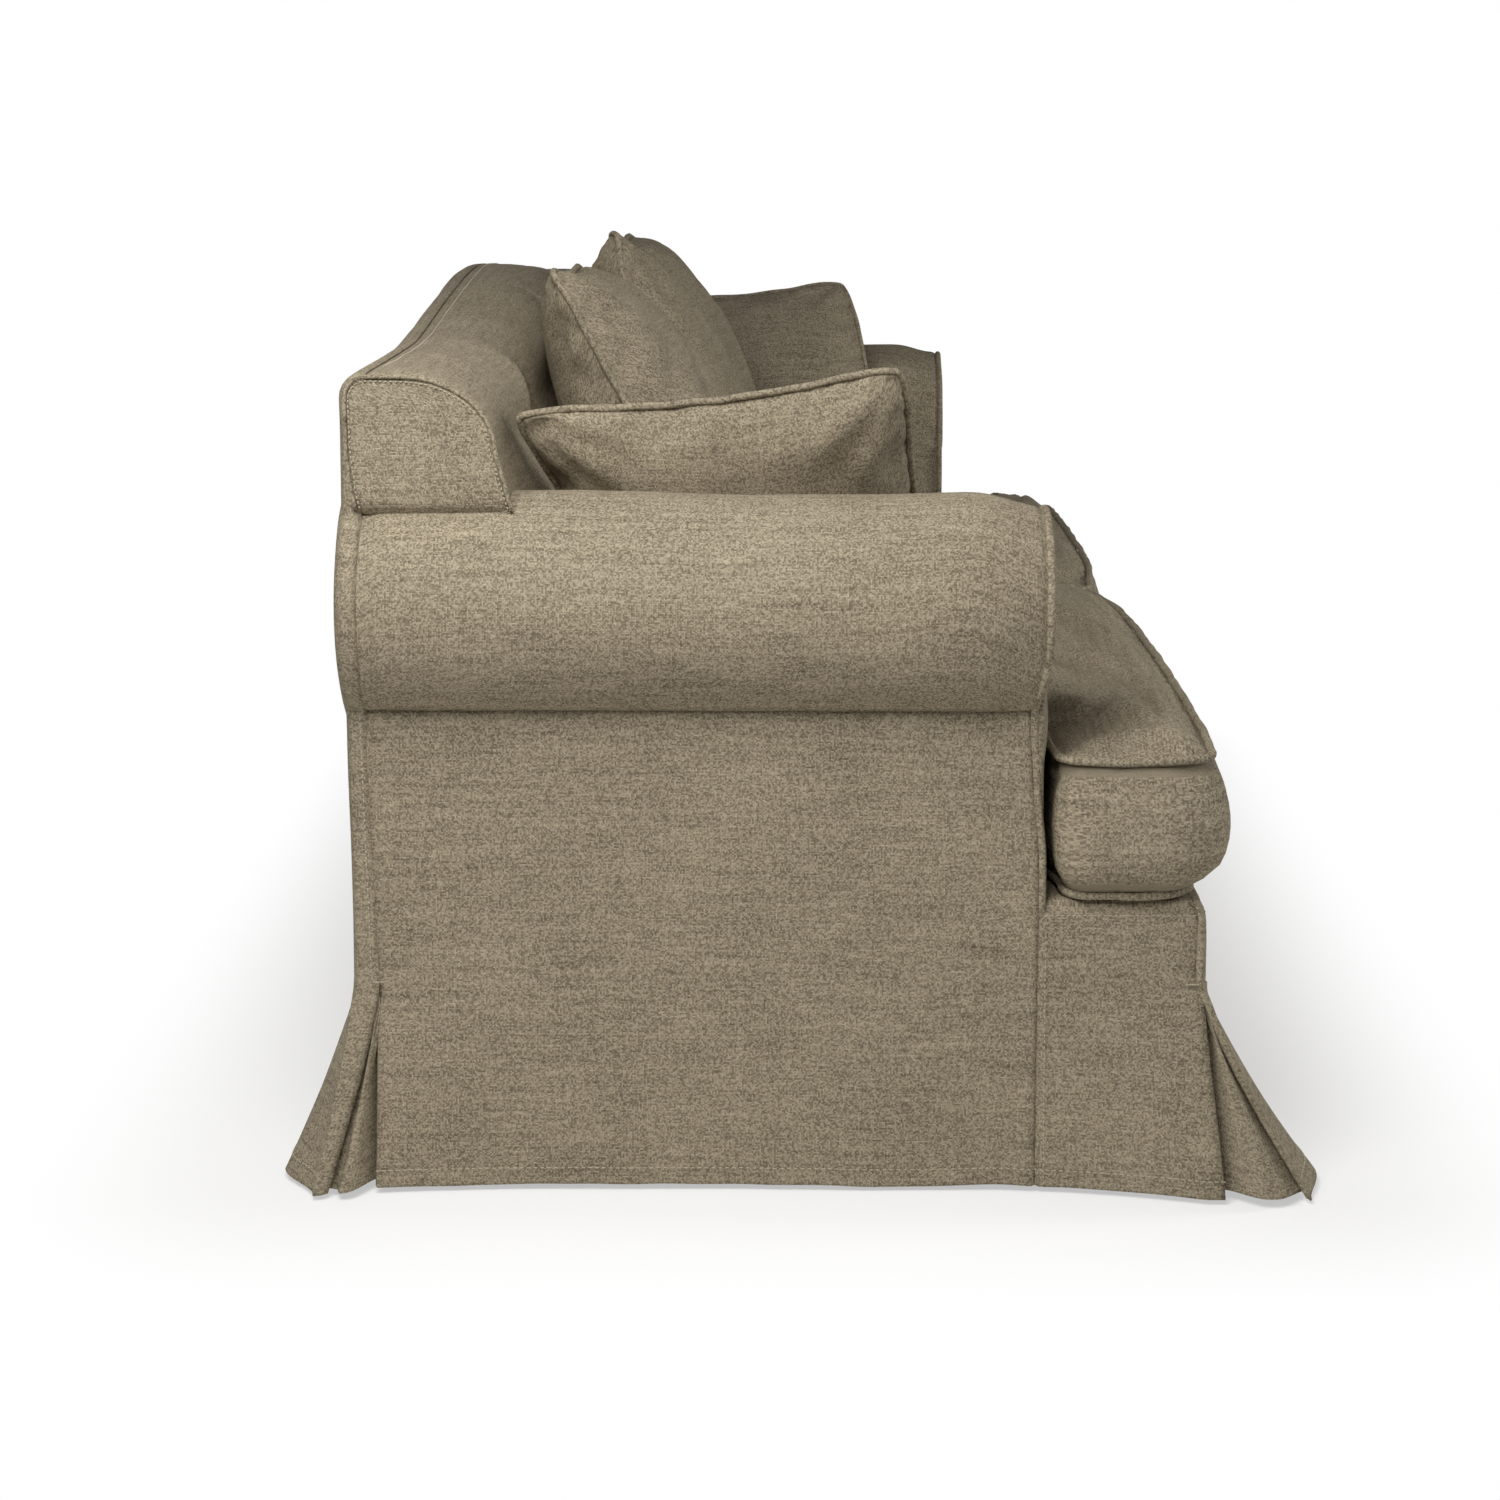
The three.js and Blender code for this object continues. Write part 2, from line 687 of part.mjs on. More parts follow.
const tuckShare = gussetTuck / panelX;
const columnShares = [tuckShare, 0.07, 0.1, 0.14, 0.24, 0.36, 0.5, 0.72];
const longColumns = [
  -1,
  ...columnShares.map((share) => share - 1),
  0,
  ...columnShares.map((share) => 1 - share).reverse(),
  1,
];

function longPanel(way, top) {
  const rows = [top, pleatRise, ...skirtRows];
  const outer = rows.map((z) => longColumns.map((share) => longPanelPoint(way, share, z)));
  return clothPanel(outer, new THREE.Vector3(0, -way, 0));
}

// Where the side's cloth ends towards the front and the rear, at a height
const sideFrontEnd = (z) => baseFrontY + skin - sideFrontSlant * downPleat(z);
const sideRearEnd = (z) => rearY - skin - sideRearSlant * downPleat(z);

function sideCloth(top, startOf, endOf, alongShares) {
  const rows = [top, pleatRise, ...skirtRows];
  const outer = rows.map((z) =>
    spread(startOf(z), endOf(z), alongShares).map((y) => sidePanelPoint(y, z)),
  );
  return clothPanel(outer, new THREE.Vector3(-1, 0, 0));
}

function addCoverPanels() {
  addPiece("front_panel", longPanel(-1, deckUnder), coverLinen());

  const overlap = pleatRise + skin; // the flat part and the skirt share this strip
  const arm = armSolid(0, pleatRise, rearY - clothThickness, rearY);
  const backPanel = backForm(0, pleatRise)
    .intersect(rearSlab(0))
    .add(arm)
    .add(mirrored(arm))
    .add(longPanel(1, overlap));
  addPiece("outside_back_panel", backPanel, coverLinen());

  const rearShares = [0, 0.3, 0.66, 0.78, 0.89, 1];
  const side = sideCloth(seamZ - seamGap, () => sideSeamY + seamGap, sideRearEnd, rearShares);
  addPair("side_panel", side, coverLinen);
  const frontShares = [0, 0.25, 0.55, 1];
  const baseSide = sideCloth(deckUnder, sideFrontEnd, () => sideSeamY, frontShares);
  addPair("base_side_panel", baseSide, coverLinen);
}

// The fullness behind a right-hand corner: it tucks behind both panels and swells between them
function gusset(way) {
  const behind = clothThickness + gussetGap;
  const outer = skirtRows.map((z) => {
    const sideEnd = way < 0 ? sideFrontEnd(z) : sideRearEnd(z);
    const side = sidePanelPoint(sideEnd, z);
    const flap = longPanelPoint(way, 1, z);
    const tucked = sidePanelPoint(sideEnd - way * gussetTuck, z);
    const flapTucked = longPanelPoint(way, 1 - tuckShare, z);
    const dip = gussetDip * downPleat(z);
    return [
      new THREE.Vector3(tucked.x - behind, tucked.y, z),
      new THREE.Vector3(side.x - behind - dip, side.y - way * behind, z),
      new THREE.Vector3(Math.max(side.x, flap.x) - behind, (side.y + flap.y) / 2, z),
      new THREE.Vector3(flap.x - behind, flap.y - way * (behind + dip), z),
      new THREE.Vector3(flapTucked.x, flapTucked.y - way * behind, z),
    ];
  });
  // Thickened towards the inside of the corner
  const step = new THREE.Vector3(-1, -way, 0).normalize().multiplyScalar(clothThickness);
  return skinned(outer, outer.map((row) => row.map((p) => p.clone().add(step))));
}

function addGussets() {
  addPair("corner_gusset_front", gusset(-1), coverLinen);
  addPair("corner_gusset_rear", gusset(1), coverLinen);
}

// Distance from a point to the nearest side of an outline
function edgeDistance(x, y, outline) {
  const p = new THREE.Vector3(x, y, 0);
  const line = new THREE.Line3();
  const nearest = new THREE.Vector3();
  return Math.min(
    ...outline.map((corner, i) => {
      line.set(corner, outline[(i + 1) % outline.length]);
      return line.closestPointToPoint(p, true, nearest).distanceTo(p);
    }),
  );
}

const ease = (share) => Math.sin((Math.PI / 2) * Math.min(1, Math.max(0, share)));

// The right seat cushion: T-shaped, boxed, welted top and bottom, and crowned
const cushionColumnShares = [0, 0.025, 0.09, 0.22, 0.4, 0.6, 0.78, 0.91, 0.975, 1];
const earRowShares = [0, 0.07, 0.25, 0.6, 1];
const seatRowShares = [0, 0.05, 0.16, 0.34, 0.54, 0.74, 0.9, 1];
function seatCushion() {
  const keep = weltRadius + seamGap;
  const split = keep;
  const earX = panelX - weltRadius;
  const seatX = innerX - weltRadius - earClearance;
  const earY = armFrontY - 2 * weltRadius - earClearance;
  const rear = insideBackY(0, deckHeight) - keep;
  const v = (x, y) => new THREE.Vector3(x, y, 0);
  const outline = [
    v(split, -cushionFront),
    v(earX, -cushionFront),
    v(earX, earY),
    v(seatX, earY),
    v(seatX, rear),
    v(split, rear),
  ];
  // A T's front corners are rounded in plan
  const rounded = (y) => {
    const into = Math.max(0, cornerRadius - (y + cushionFront));
    return cornerRadius - Math.sqrt(cornerRadius ** 2 - into ** 2);
  };
  const rows = [
    ...spread(-cushionFront, earY, earRowShares).map((y) => [y, earX]),
    ...spread(earY + weltRadius, rear, seatRowShares).map((y) => [y, seatX]),
  ];
  const grid = rows.map(([y, outer]) =>
    spread(split + rounded(y), outer - rounded(y), cushionColumnShares).map((x) => v(x, y)),
  );
  const rakeBack = (p) => {
    const nearRear = THREE.MathUtils.smoothstep(p.y, earY, rear);
    p.y += backRakeShare * (p.z - deckHeight) * nearRear;
    return p;
  };
  const crown = (p) => cushionCrown * ease(edgeDistance(p.x, p.y, outline) / crownRun);
  const under = (p) => 1 - ease(edgeDistance(p.x, p.y, outline) / bottomRun);
  const topZ = boxTop + weltRadius / 2;
  const top = grid.map((row) => row.map((p) => rakeBack(v(p.x, p.y).setZ(topZ + crown(p)))));
  const lowest = deckHeight + seamGap;
  const bottomZ = boxBottom - weltRadius / 2;
  const bottom = grid.map((row) =>
    row.map((p) => rakeBack(v(p.x, p.y).setZ(lowest + (bottomZ - lowest) * under(p)))),
  );
  const rim = rimOf(grid.length, grid[0].length).map(([i, j]) => grid[i][j]);
  const outward = rim.map((_, n) => {
    const before = rim[(n + rim.length - 1) % rim.length];
    const after = rim[(n + 1) % rim.length];
    return new THREE.Vector3(after.y - before.y, before.x - after.x, 0).normalize();
  });
  // The front and the ear's outer side bulge; the sides that touch a neighbour stay flat
  const free = rim.map((p, n) => {
    const ear = p.y < armFrontY ? Math.max(0, outward[n].x) : 0;
    return Math.max(0, -outward[n].y) + ear;
  });
  const band = (z, out) =>
    rim.map((p, n) => rakeBack(p.clone().addScaledVector(outward[n], out(n)).setZ(z)));
  const welt = () => weltRadius;
  const flush = () => 0;
  const bulge = (n) => boxBulge * Math.min(1, free[n]);
  const bands = [
    band(boxTop - weltRadius / 2, welt),
    band(boxTop - 2 * weltRadius, flush),
    band((boxTop + boxBottom) / 2, bulge),
    band(boxBottom + 2 * weltRadius, flush),
    band(boxBottom + weltRadius / 2, welt),
  ];
  return skinned(top, bottom, bands);
}

// A knife-edge pillow that stands in X and Z, its sides drawn in and its bottom fuller
const pillowGridShares = [-1, -0.9, -0.66, -0.34, 0, 0.34, 0.66, 0.9, 1];
function pillow(size, skew) {
  const half = size / 2 - pillowWelt;
  const plump = (size * pillowPlumpShare) / 2;
  const face = (way) =>
    pillowGridShares.map((v) =>
      pillowGridShares.map((u) => {
        const z = half * v * (1 - 2 * pillowDrawInShare * (1 - u ** 2));
        const x = half * u * (1 - 2 * pillowDrawInShare * (1 - v ** 2)) - skew * z;
        const swell = ((1 - u ** 2) * (1 - v ** 2)) ** pillowFullness * (1 - pillowSlumpShare * v);
        const y = way * (plump * swell + (pillowWelt / 2) * (1 - swell));
        return new THREE.Vector3(x, Math.abs(y) < pillowWelt / 2 ? (way * pillowWelt) / 2 : y, z);
      }),
    );
  const count = pillowGridShares.length;
  const front = face(-1);
  const rim = rimOf(count, count).map(([i, j]) => front[i][j].clone().setY(0));
  const tip = rim.map((p) => p.clone().multiplyScalar(1 + pillowWelt / half));
  return skinned(front, face(1), [tip]);
}

// Slides a solid along a direction until it almost meets an obstacle
const longestSlide = sofaLength / 2;
const coarseSteps = 40;
const fineSteps = 10;
const settleSteps = [8, 4, 2, 1]; // how far a pillow is eased off before each small drop
function slideTo(solid, direction, obstacles) {
  const movedBy = (travel) => solid.translate(direction.map((d) => d * travel));
  const isFree = (travel) => {
    const moved = movedBy(travel);
    return obstacles.every((obstacle) => moved.intersect(obstacle).volume() === 0);
  };
  const coarse = longestSlide / coarseSteps;
  let clear = 0;
  while (clear < longestSlide && isFree(clear + coarse)) clear += coarse;
  let blocked = clear + coarse;
  for (let i = 0; i < fineSteps; i++) {
    const middle = (clear + blocked) / 2;
    if (isFree(middle)) clear = middle;
    else blocked = middle;
  }
  return movedBy(clear - restGap);
}

// Drops a pillow on its seat and pushes it along each direction, easing it off and down again
// each time, until it rests on both
const down = [0, 0, -1];
function nestle(solid, directions, obstacles) {
  let placed = slideTo(solid, down, obstacles);
  for (const direction of directions) {
    placed = slideTo(placed, direction, obstacles);
    for (const step of settleSteps) {
      const eased = placed.translate(direction.map((d) => -d * step));
      placed = slideTo(slideTo(eased, down, obstacles), direction, obstacles);
    }
  }
  return placed;
}

const quarterTurn = 90;
function turned(solid, tilt, lean, turn) {
  return solid.rotate([0, tilt, 0]).rotate([-lean, 0, 0]).rotate([0, 0, turn]);
}

function addSoftGoods() {
  const rightSeat = seatCushion();
  const leftSeat = mirrored(rightSeat);
  addPiece("seat_cushion_left", leftSeat, cushionLinen());
  addPiece("seat_cushion_right", rightSeat, cushionLinen());

  const seats = leftSeat.add(rightSeat);
  const back = backForm(0, onDeck);
  const arms = armRoom();
  const dropZ = boxTop + cushionCrown + backPillowSize;
  const toBack = [0, 1, 0];
  const toArm = [1, 0, 0];
  const toCorner = [Math.SQRT1_2, Math.SQRT1_2, 0];

  const step = backPillowSize + pillowGap;
  const backPillows = [
    ["left", -step, leftPillowLean],
    ["centre", 0, centrePillowLean],
    ["right", step, rightPillowLean],
  ].map(([name, x, lean]) => {
    const start = turned(pillow(backPillowSize, 0), 0, lean, 0).translate([x, 0, dropZ]);
    const placed = nestle(start, [toBack], [seats, back]);
    addPiece("pillow_back_" + name, placed, pillowLinen());
    return placed;
  });

  const skewed = pillow(armPillowSize, armPillowSkew);
  const armPillow = turned(skewed, -armPillowTilt, armPillowLean, -quarterTurn - armPillowTurn);
  const armStart = armPillow.translate([innerX - armPillowSize / 2, armPillowStartY, dropZ]);
  const fixed = [seats, back, arms];
  const intoCorner = [toArm, toBack, toCorner];
  const right = nestle(armStart, intoCorner, [...fixed, backPillows[2]]);
  const left = nestle(armStart, intoCorner, [...fixed, mirrored(backPillows[0])]);
  addPiece("pillow_arm_left", mirrored(left), pillowLinen());
  addPiece("pillow_arm_right", right, pillowLinen());
}

addSeatFrame();
addSprings();
addDeck();
addArms();
addBackFrame();
addBack();
addCoverPanels();
addGussets();
addSoftGoods();

export default group;
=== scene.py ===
# %% [markdown]
# A slipcovered camelback sofa with rolled arms.
# The CAD model gives the frame, the sizes and the places. Here every soft part is made again as
# cloth and padding, each as its own object, and laid exactly where its CAD solid lies.
# Everything is worked out in millimetres and turned into Blender's metres at the last moment.

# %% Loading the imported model
import functools
import math

import bmesh
import bpy
import numpy as np
from mathutils import Matrix, Vector, noise


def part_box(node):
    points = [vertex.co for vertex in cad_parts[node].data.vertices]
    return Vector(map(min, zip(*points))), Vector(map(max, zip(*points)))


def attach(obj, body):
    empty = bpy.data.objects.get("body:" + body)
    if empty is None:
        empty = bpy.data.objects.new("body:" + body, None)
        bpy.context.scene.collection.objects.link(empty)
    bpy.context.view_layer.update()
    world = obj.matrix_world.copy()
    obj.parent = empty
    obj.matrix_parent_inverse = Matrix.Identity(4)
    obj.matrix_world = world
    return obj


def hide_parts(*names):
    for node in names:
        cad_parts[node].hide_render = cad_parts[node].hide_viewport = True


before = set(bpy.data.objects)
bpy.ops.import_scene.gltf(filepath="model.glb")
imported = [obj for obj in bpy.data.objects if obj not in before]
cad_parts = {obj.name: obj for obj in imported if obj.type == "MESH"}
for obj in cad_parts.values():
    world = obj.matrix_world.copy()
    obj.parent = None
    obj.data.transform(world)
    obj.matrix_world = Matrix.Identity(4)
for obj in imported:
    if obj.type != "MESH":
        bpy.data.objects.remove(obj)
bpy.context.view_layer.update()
MM = 0.001

# %% [markdown]
# The sofa's own sizes. They are the same numbers that drive the CAD model, so that a seam drawn
# here falls on the edge it belongs to.

# %% Sizes of the sofa in millimetres
PANEL_X = 1050  # outside arm panel
INNER_X = 895  # inside arm
REAR_Y = 422
BASE_FRONT_Y = -382
ARM_FRONT_Y = -226
ROLL_X = 994
ROLL_Z = 554
ROLL_R = 106
SEAM_Z = 464  # seam under the roll
DECK_Z = 283
HEM_Z = 5
PLEAT_Z = 200  # tip of a corner pleat
CLOTH = 2.5
STRIP_Y = 405  # seam where the outside back wraps onto the sides
SIDE_SEAM_Y = -223.5
END_TOP = 775  # top of the back at its ends
CAMEL_RISE = 52  # how much higher the camel line is in the middle
CAMEL_HALF = 640  # half the width of the camel's hump
CREST_HEIGHT = 70  # height of the back's rounded crest
BACK_FACE_Y = 278  # the inside back's face just below the crest
RAKE = 0.21  # how far that face leans for each mm of height
BULGE = 18  # how much fuller the inside back is away from its ends
BULGE_RUN = 240  # how far from an end it is full


def strip_seam(z):
    """Where the outside back's strip meets the boxing, the roll or the side panel."""
    return float(np.interp(z, [200, 464, 560, 640, 665, 705], [398, 405, 405, 405, 411, 415.5]))


def smooth(low, high, value):
    """Goes softly from 0 to 1 between two values."""
    share = np.clip((value - low) / (high - low), 0, 1)
    return share * share * (3 - 2 * share)


def quarter_round(value, start, reach):
    """Falls from 1 to 0 like a quarter circle, from a start over a reach."""
    share = max(0.0, (value - start) / reach)
    return math.sqrt(max(0.0, 1 - share**2))


def front_edge(z):
    """How far the arm's front edge is drawn back, most beside the seam under the roll."""
    return 10.5 * smooth(300, 458, z) * (1 - smooth(466, 520, z))


def camel_top(x):
    """Height of the camel line at a place along the sofa."""
    hump = 1 - (abs(x) / CAMEL_HALF) ** 1.45
    return END_TOP + CAMEL_RISE * (hump + math.sqrt(hump**2 + 0.15**2)) / 2


def inside_back_y(x, z):
    """How far back the inside back's face lies, at a place along the sofa and a height."""
    full = min(1.0, (camel_top(x) - CREST_HEIGHT - z) / CREST_HEIGHT)
    bulge = BULGE * smooth(0, BULGE_RUN, PANEL_X - abs(x))
    return BACK_FACE_Y - RAKE * max(0, END_TOP - CREST_HEIGHT - z) - bulge * full


def down_pleat(z):
    """How far down the corner pleat a height lies, from 0 at its tip to 1 at the hem."""
    return max(0.0, (PLEAT_Z - z) / (PLEAT_Z - HEM_Z))


def along(places, values, share):
    """Reads a short table, easing from value to value."""
    for i in range(1, len(places)):
        if share < places[i]:
            t = smooth(places[i - 1], places[i], share)
            return values[i - 1] + (values[i] - values[i - 1]) * t
    return values[-1]


print("camel line:", round(camel_top(0)), "mm in the middle,", round(camel_top(1050)), "at the ends")

# %% [markdown]
# The camera comes first. It stands off the sofa's left end, a little above the arm, and looks
# slightly down. Its place was worked out from the seams' places in the photograph.

# %% The camera
CAMERA_PLACE = Vector((-3.7737, 0.0175, 0.9906))  # metres
LENS = 71.95  # mm, on a sensor 36 mm wide
camera_data = bpy.data.cameras.new("view")
camera_data.lens = LENS
camera_data.sensor_width = 36
camera_data.clip_end = 60
camera = bpy.data.objects.new("view", camera_data)
bpy.context.scene.collection.objects.link(camera)
bpy.context.scene.camera = camera
yaw, pitch = 0.011, 0.204
forward = Vector((
    math.cos(pitch) * math.cos(yaw),
    math.cos(pitch) * math.sin(yaw),
    -math.sin(pitch),
))
across = Vector((math.sin(yaw), -math.cos(yaw), 0))
upward = across.cross(forward)
turn = Matrix((across, upward, -forward)).transposed()
camera.matrix_world = Matrix.Translation(CAMERA_PLACE) @ turn.to_4x4()
print("camera looks", [round(c, 3) for c in forward])

# %% [markdown]
# Colours are written as they are read off a screen, in sRGB hex, and one function turns them into
# the linear values that a shader works with. One more small function adds a node to a material,
# sets it and links it, so that each material below reads from top to bottom.

# %% Colours and nodes


def tint(text):
    """Turns an sRGB hex colour into linear red, green, blue and alpha."""
    parts = [int(text[i:i + 2], 16) / 255 for i in (1, 3, 5)]
    linear = [c / 12.92 if c <= 0.04045 else ((c + 0.055) / 1.055) ** 2.4 for c in parts]
    return (*linear, 1.0)


def add_node(tree, kind, values=None, **settings):
    """Adds a shader node: settings are its properties, values fill or link its sockets."""
    node = tree.nodes.new("ShaderNode" + kind)
    for key, value in settings.items():
        setattr(node, key, value)
    for key, value in (values or {}).items():
        if isinstance(value, bpy.types.NodeSocket):
            tree.links.new(value, node.inputs[key])
        else:
            node.inputs[key].default_value = value
    return node.outputs


def new_material(name):
    """Starts an empty material, and gives back it and a function that adds a node to it."""
    material = bpy.data.materials.new(name)
    material.use_nodes = True
    material.node_tree.nodes.clear()
    return material, functools.partial(add_node, material.node_tree)


print("mid grey on a screen is", round(tint("#808080")[0], 3), "of full light")

# %% [markdown]
# The cover is washed linen, woven plain from slubby yarn. Every crossing of two yarns has its own
# tone, each yarn keeps a tone for a hand's breadth, and a thick place shows as a short pale streak.
# The UV map holds real metres along the warp and the weft, so the threads follow each panel's cut.
# Real yarns lie about 1 mm apart; they are drawn 1.5 mm apart, because finer ones would blur away
# at the size of the picture.

# %% The linen
THREAD_GAP = 1.5


def linen(name, dark, light, gap=THREAD_GAP, slubs=1.0):
    """Plain-woven slubby linen between two shades, with its threads a gap apart in mm."""
    material, add = new_material(name)
    spot = add("UVMap", uv_map="cloth")[0]
    threads = add("VectorMath", {0: spot, 1: (1 / (gap * MM),) * 3}, operation="MULTIPLY")[0]
    # Yarns aren't laid dead straight
    drift = add("TexNoise", {"Vector": spot, "Scale": 22, "Detail": 2}, noise_dimensions="2D")["Color"]
    sway = add("VectorMath", {0: drift, 1: (1.6, 1.6, 0)}, operation="MULTIPLY")[0]
    laid = add("VectorMath", {0: threads, 1: sway}, operation="ADD")[0]
    split = add("SeparateXYZ", {0: laid})
    waves = []
    for axis in (0, 1):
        turned = add("Math", {0: split[axis], 1: math.pi}, operation="MULTIPLY")
        waves.append(add("Math", {0: turned[0]}, operation="SINE")[0])
    crossing = add("Math", {0: waves[0], 1: waves[1]}, operation="MULTIPLY")[0]
    height = add("Math", {0: crossing}, operation="ABSOLUTE")[0]
    on_top = add(
        "MapRange",
        {"Value": crossing, "From Min": -0.5, "From Max": 0.5, "To Min": 0.08, "To Max": 0.5}
    )[0]
    cell = add("VectorMath", {0: laid}, operation="FLOOR")[0]
    speck = add("TexWhiteNoise", {"Vector": cell}, noise_dimensions="2D")[0]
    # Each yarn's own tone, and its thick places
    tones = []
    thick = []
    for stretch, seed in (((1.0, 0.03, 1), 3.0), ((0.03, 1.0, 1), 11.0)):
        run = add("VectorMath", {0: laid, 1: stretch}, operation="MULTIPLY")[0]
        tones.append(add(
            "TexNoise",
            {"Vector": run, "W": seed, "Scale": 0.9, "Detail": 2}, noise_dimensions="4D"
        )[0])
        short = add(
            "VectorMath",
            {0: laid, 1: (max(stretch[0], 0.13), max(stretch[1], 0.13), 1)}, operation="MULTIPLY"
        )[0]
        lump = add(
            "TexNoise",
            {"Vector": short, "W": seed + 5, "Scale": 0.85, "Detail": 1}, noise_dimensions="4D"
        )[0]
        thick.append(add("MapRange", {"Value": lump, "From Min": 0.6, "From Max": 0.76})[0])
    tone = add("Mix", {"Factor": on_top, "A": tones[1], "B": tones[0]}, data_type="FLOAT")[0]
    slub = add("Math", {0: thick[0], 1: 0.45, 2: thick[1]}, operation="MULTIPLY_ADD")[0]
    # Patches where the wash took more or less of the dye
    wash = add(
        "TexNoise", {"Vector": spot, "Scale": 9, "Detail": 4, "Roughness": 0.6}, noise_dimensions="2D"
    )[0]
    mixed = add(
        "MapRange", {"Value": tone, "From Min": 0.3, "From Max": 0.7, "To Min": 0.0, "To Max": 0.3}
    )[0]
    # Here and there the weft is beaten up more closely, which makes a soft bar
    closer = add("VectorMath", {0: laid, 1: (0.012, 0.2, 1)}, operation="MULTIPLY")[0]
    bars = add("TexNoise", {"Vector": closer, "Scale": 1, "Detail": 2}, noise_dimensions="2D")[0]
    # The crossings' height makes the threads' tops lighter and the gaps between them darker. That part
    # is painted shade, on top of the bump that the same height drives. The other layers are the yarns'
    # own tones.
    for amount, layer in ((0.62, speck), (0.1, height), (0.16 * slubs, slub), (0.2, wash),
                          (0.28, bars)):
        mixed = add("Math", {0: layer, 1: amount, 2: mixed}, operation="MULTIPLY_ADD")[0]
    level = add("MapRange", {"Value": mixed, "From Min": 0.2, "From Max": 1.3})[0]
    colour = add("Mix", {"Factor": level, "A": tint(dark), "B": tint(light)}, data_type="RGBA")
    relief = add("Math", {0: slub, 1: 0.8, 2: height}, operation="MULTIPLY_ADD")[0]
    threads_bump = add("Bump", {"Strength": 0.5, "Distance": 0.0009, "Height": relief})[0]
    shader = add("BsdfPrincipled", {
        "Base Color": colour["Result"],
        "Roughness": 0.95,
        "Specular IOR Level": 0.12,
        "Normal": threads_bump,
    })
    add("OutputMaterial", {0: shader[0]})
    return material


cover_linen = linen("washed_linen_cover", "#4e4434", "#c0b39a")
cushion_linen = linen("washed_linen_cushions", "#504636", "#c1b49b")
pillow_linen = linen("washed_linen_pillows", "#4d4333", "#beb198")
cord_linen = linen("bias_cut_linen_piping", "#4b4232", "#bfb299", gap=1.7, slubs=0.3)
print("linens:", [m.name for m in (cover_linen, cushion_linen, pillow_linen, cord_linen)])

# %% [markdown]
# The platform under the cushions is closely woven cotton twill, unbleached. Its ribs give a faint
# slanting relief. Real ones lie 1 mm apart; they are drawn 8.5 mm apart, because finer ones
# wouldn't show. A wave texture makes them, which is simpler than weaving them like the linen.

# %% Platform cotton
RIB_GAP = 8.5


def platform_cotton():
    """Unbleached cotton twill with slanting ribs."""
    material, add = new_material("cotton_platform_cloth")
    spot = add("TexCoord")["Object"]
    # A diagonal wave repeats every 2 pi / 10 along x and y, which is a slanting gap times root 2
    rib_waves = 2 * math.pi / 10 / (RIB_GAP * MM * math.sqrt(2))
    ribs = add(
        "TexWave", {"Vector": spot, "Scale": rib_waves, "Distortion": 0.6, "Detail": 1},
        bands_direction="DIAGONAL"
    )
    mottle = add("TexNoise", {"Vector": spot, "Scale": 40, "Detail": 5})[0]
    colour = add(
        "Mix", {"Factor": mottle, "A": tint("#8f8571"), "B": tint("#b5ab95")}, data_type="RGBA"
    )["Result"]
    bump = add("Bump", {"Strength": 0.4, "Distance": 0.0008, "Height": ribs["Fac"]})[0]
    shader = add("BsdfPrincipled", {
        "Base Color": colour, "Roughness": 0.9, "Specular IOR Level": 0.25, "Normal": bump,
    })
    add("OutputMaterial", {0: shader[0]})
    return material


platform_cloth = platform_cotton()
print("platform cloth:", platform_cloth.name)

# %% [markdown]
# The frame is planed beech: pale and smooth, with grain about 5 mm wide that runs along the sofa,
# and short dark flecks 1 mm wide. Noise that is stretched along the grain makes both.

# %% Planed beech


def planed_beech():
    """Pale wood with long fine grain and short dark flecks."""
    material, add = new_material("planed_beech")
    spot = add("TexCoord")["Object"]
    long_grain = add("VectorMath", {0: spot, 1: (3, 40, 60)}, operation="MULTIPLY")[0]
    grain = add("TexNoise", {"Vector": long_grain, "Scale": 4, "Detail": 6, "Distortion": 0.4})[0]
    fleck = add("TexNoise", {"Vector": long_grain, "Scale": 22, "Detail": 2})[0]
    dots = add(
        "MapRange", {"Value": fleck, "From Min": 0.58, "From Max": 0.7, "To Min": 0, "To Max": 0.5}
    )[0]
    wood = add(
        "Mix", {"Factor": grain, "A": tint("#b98f62"), "B": tint("#ddbd92")}, data_type="RGBA"
    )["Result"]
    colour = add("Mix", {"Factor": dots, "A": wood, "B": tint("#8a6540")}, data_type="RGBA")["Result"]
    bump = add("Bump", {"Strength": 0.25, "Distance": 0.0006, "Height": grain})[0]
    shader = add("BsdfPrincipled", {"Base Color": colour, "Roughness": 0.55, "Normal": bump})
    add("OutputMaterial", {0: shader[0]})
    return material


beech = planed_beech()
print("wood:", beech.name)

# %% [markdown]
# The springs are bright drawn steel wire under a thin film of oil, which is uneven over some 5 mm.
# The film changes only the roughness and the shade, so noise drives both.

# %% Spring wire


def drawn_wire():
    """Grey metal whose gloss and shade vary with its film of oil."""
    material, add = new_material("drawn_spring_steel")
    spot = add("TexCoord")["Object"]
    film = add("TexNoise", {"Vector": spot, "Scale": 180, "Detail": 4})[0]
    rough = add("MapRange", {"Value": film, "To Min": 0.28, "To Max": 0.5})[0]
    colour = add(
        "Mix", {"Factor": film, "A": tint("#6f7276"), "B": tint("#9a9da0")}, data_type="RGBA"
    )["Result"]
    shader = add("BsdfPrincipled", {"Base Color": colour, "Metallic": 1.0, "Roughness": rough})
    add("OutputMaterial", {0: shader[0]})
    return material


spring_wire = drawn_wire()
print("wire:", spring_wire.name)

# %% [markdown]
# The sewing thread is twisted polyester, smooth and a shade lighter than the linen. Its twist is
# drawn 2 mm long, because the real one, of half a millimetre, is too fine to show.

# %% Sewing thread


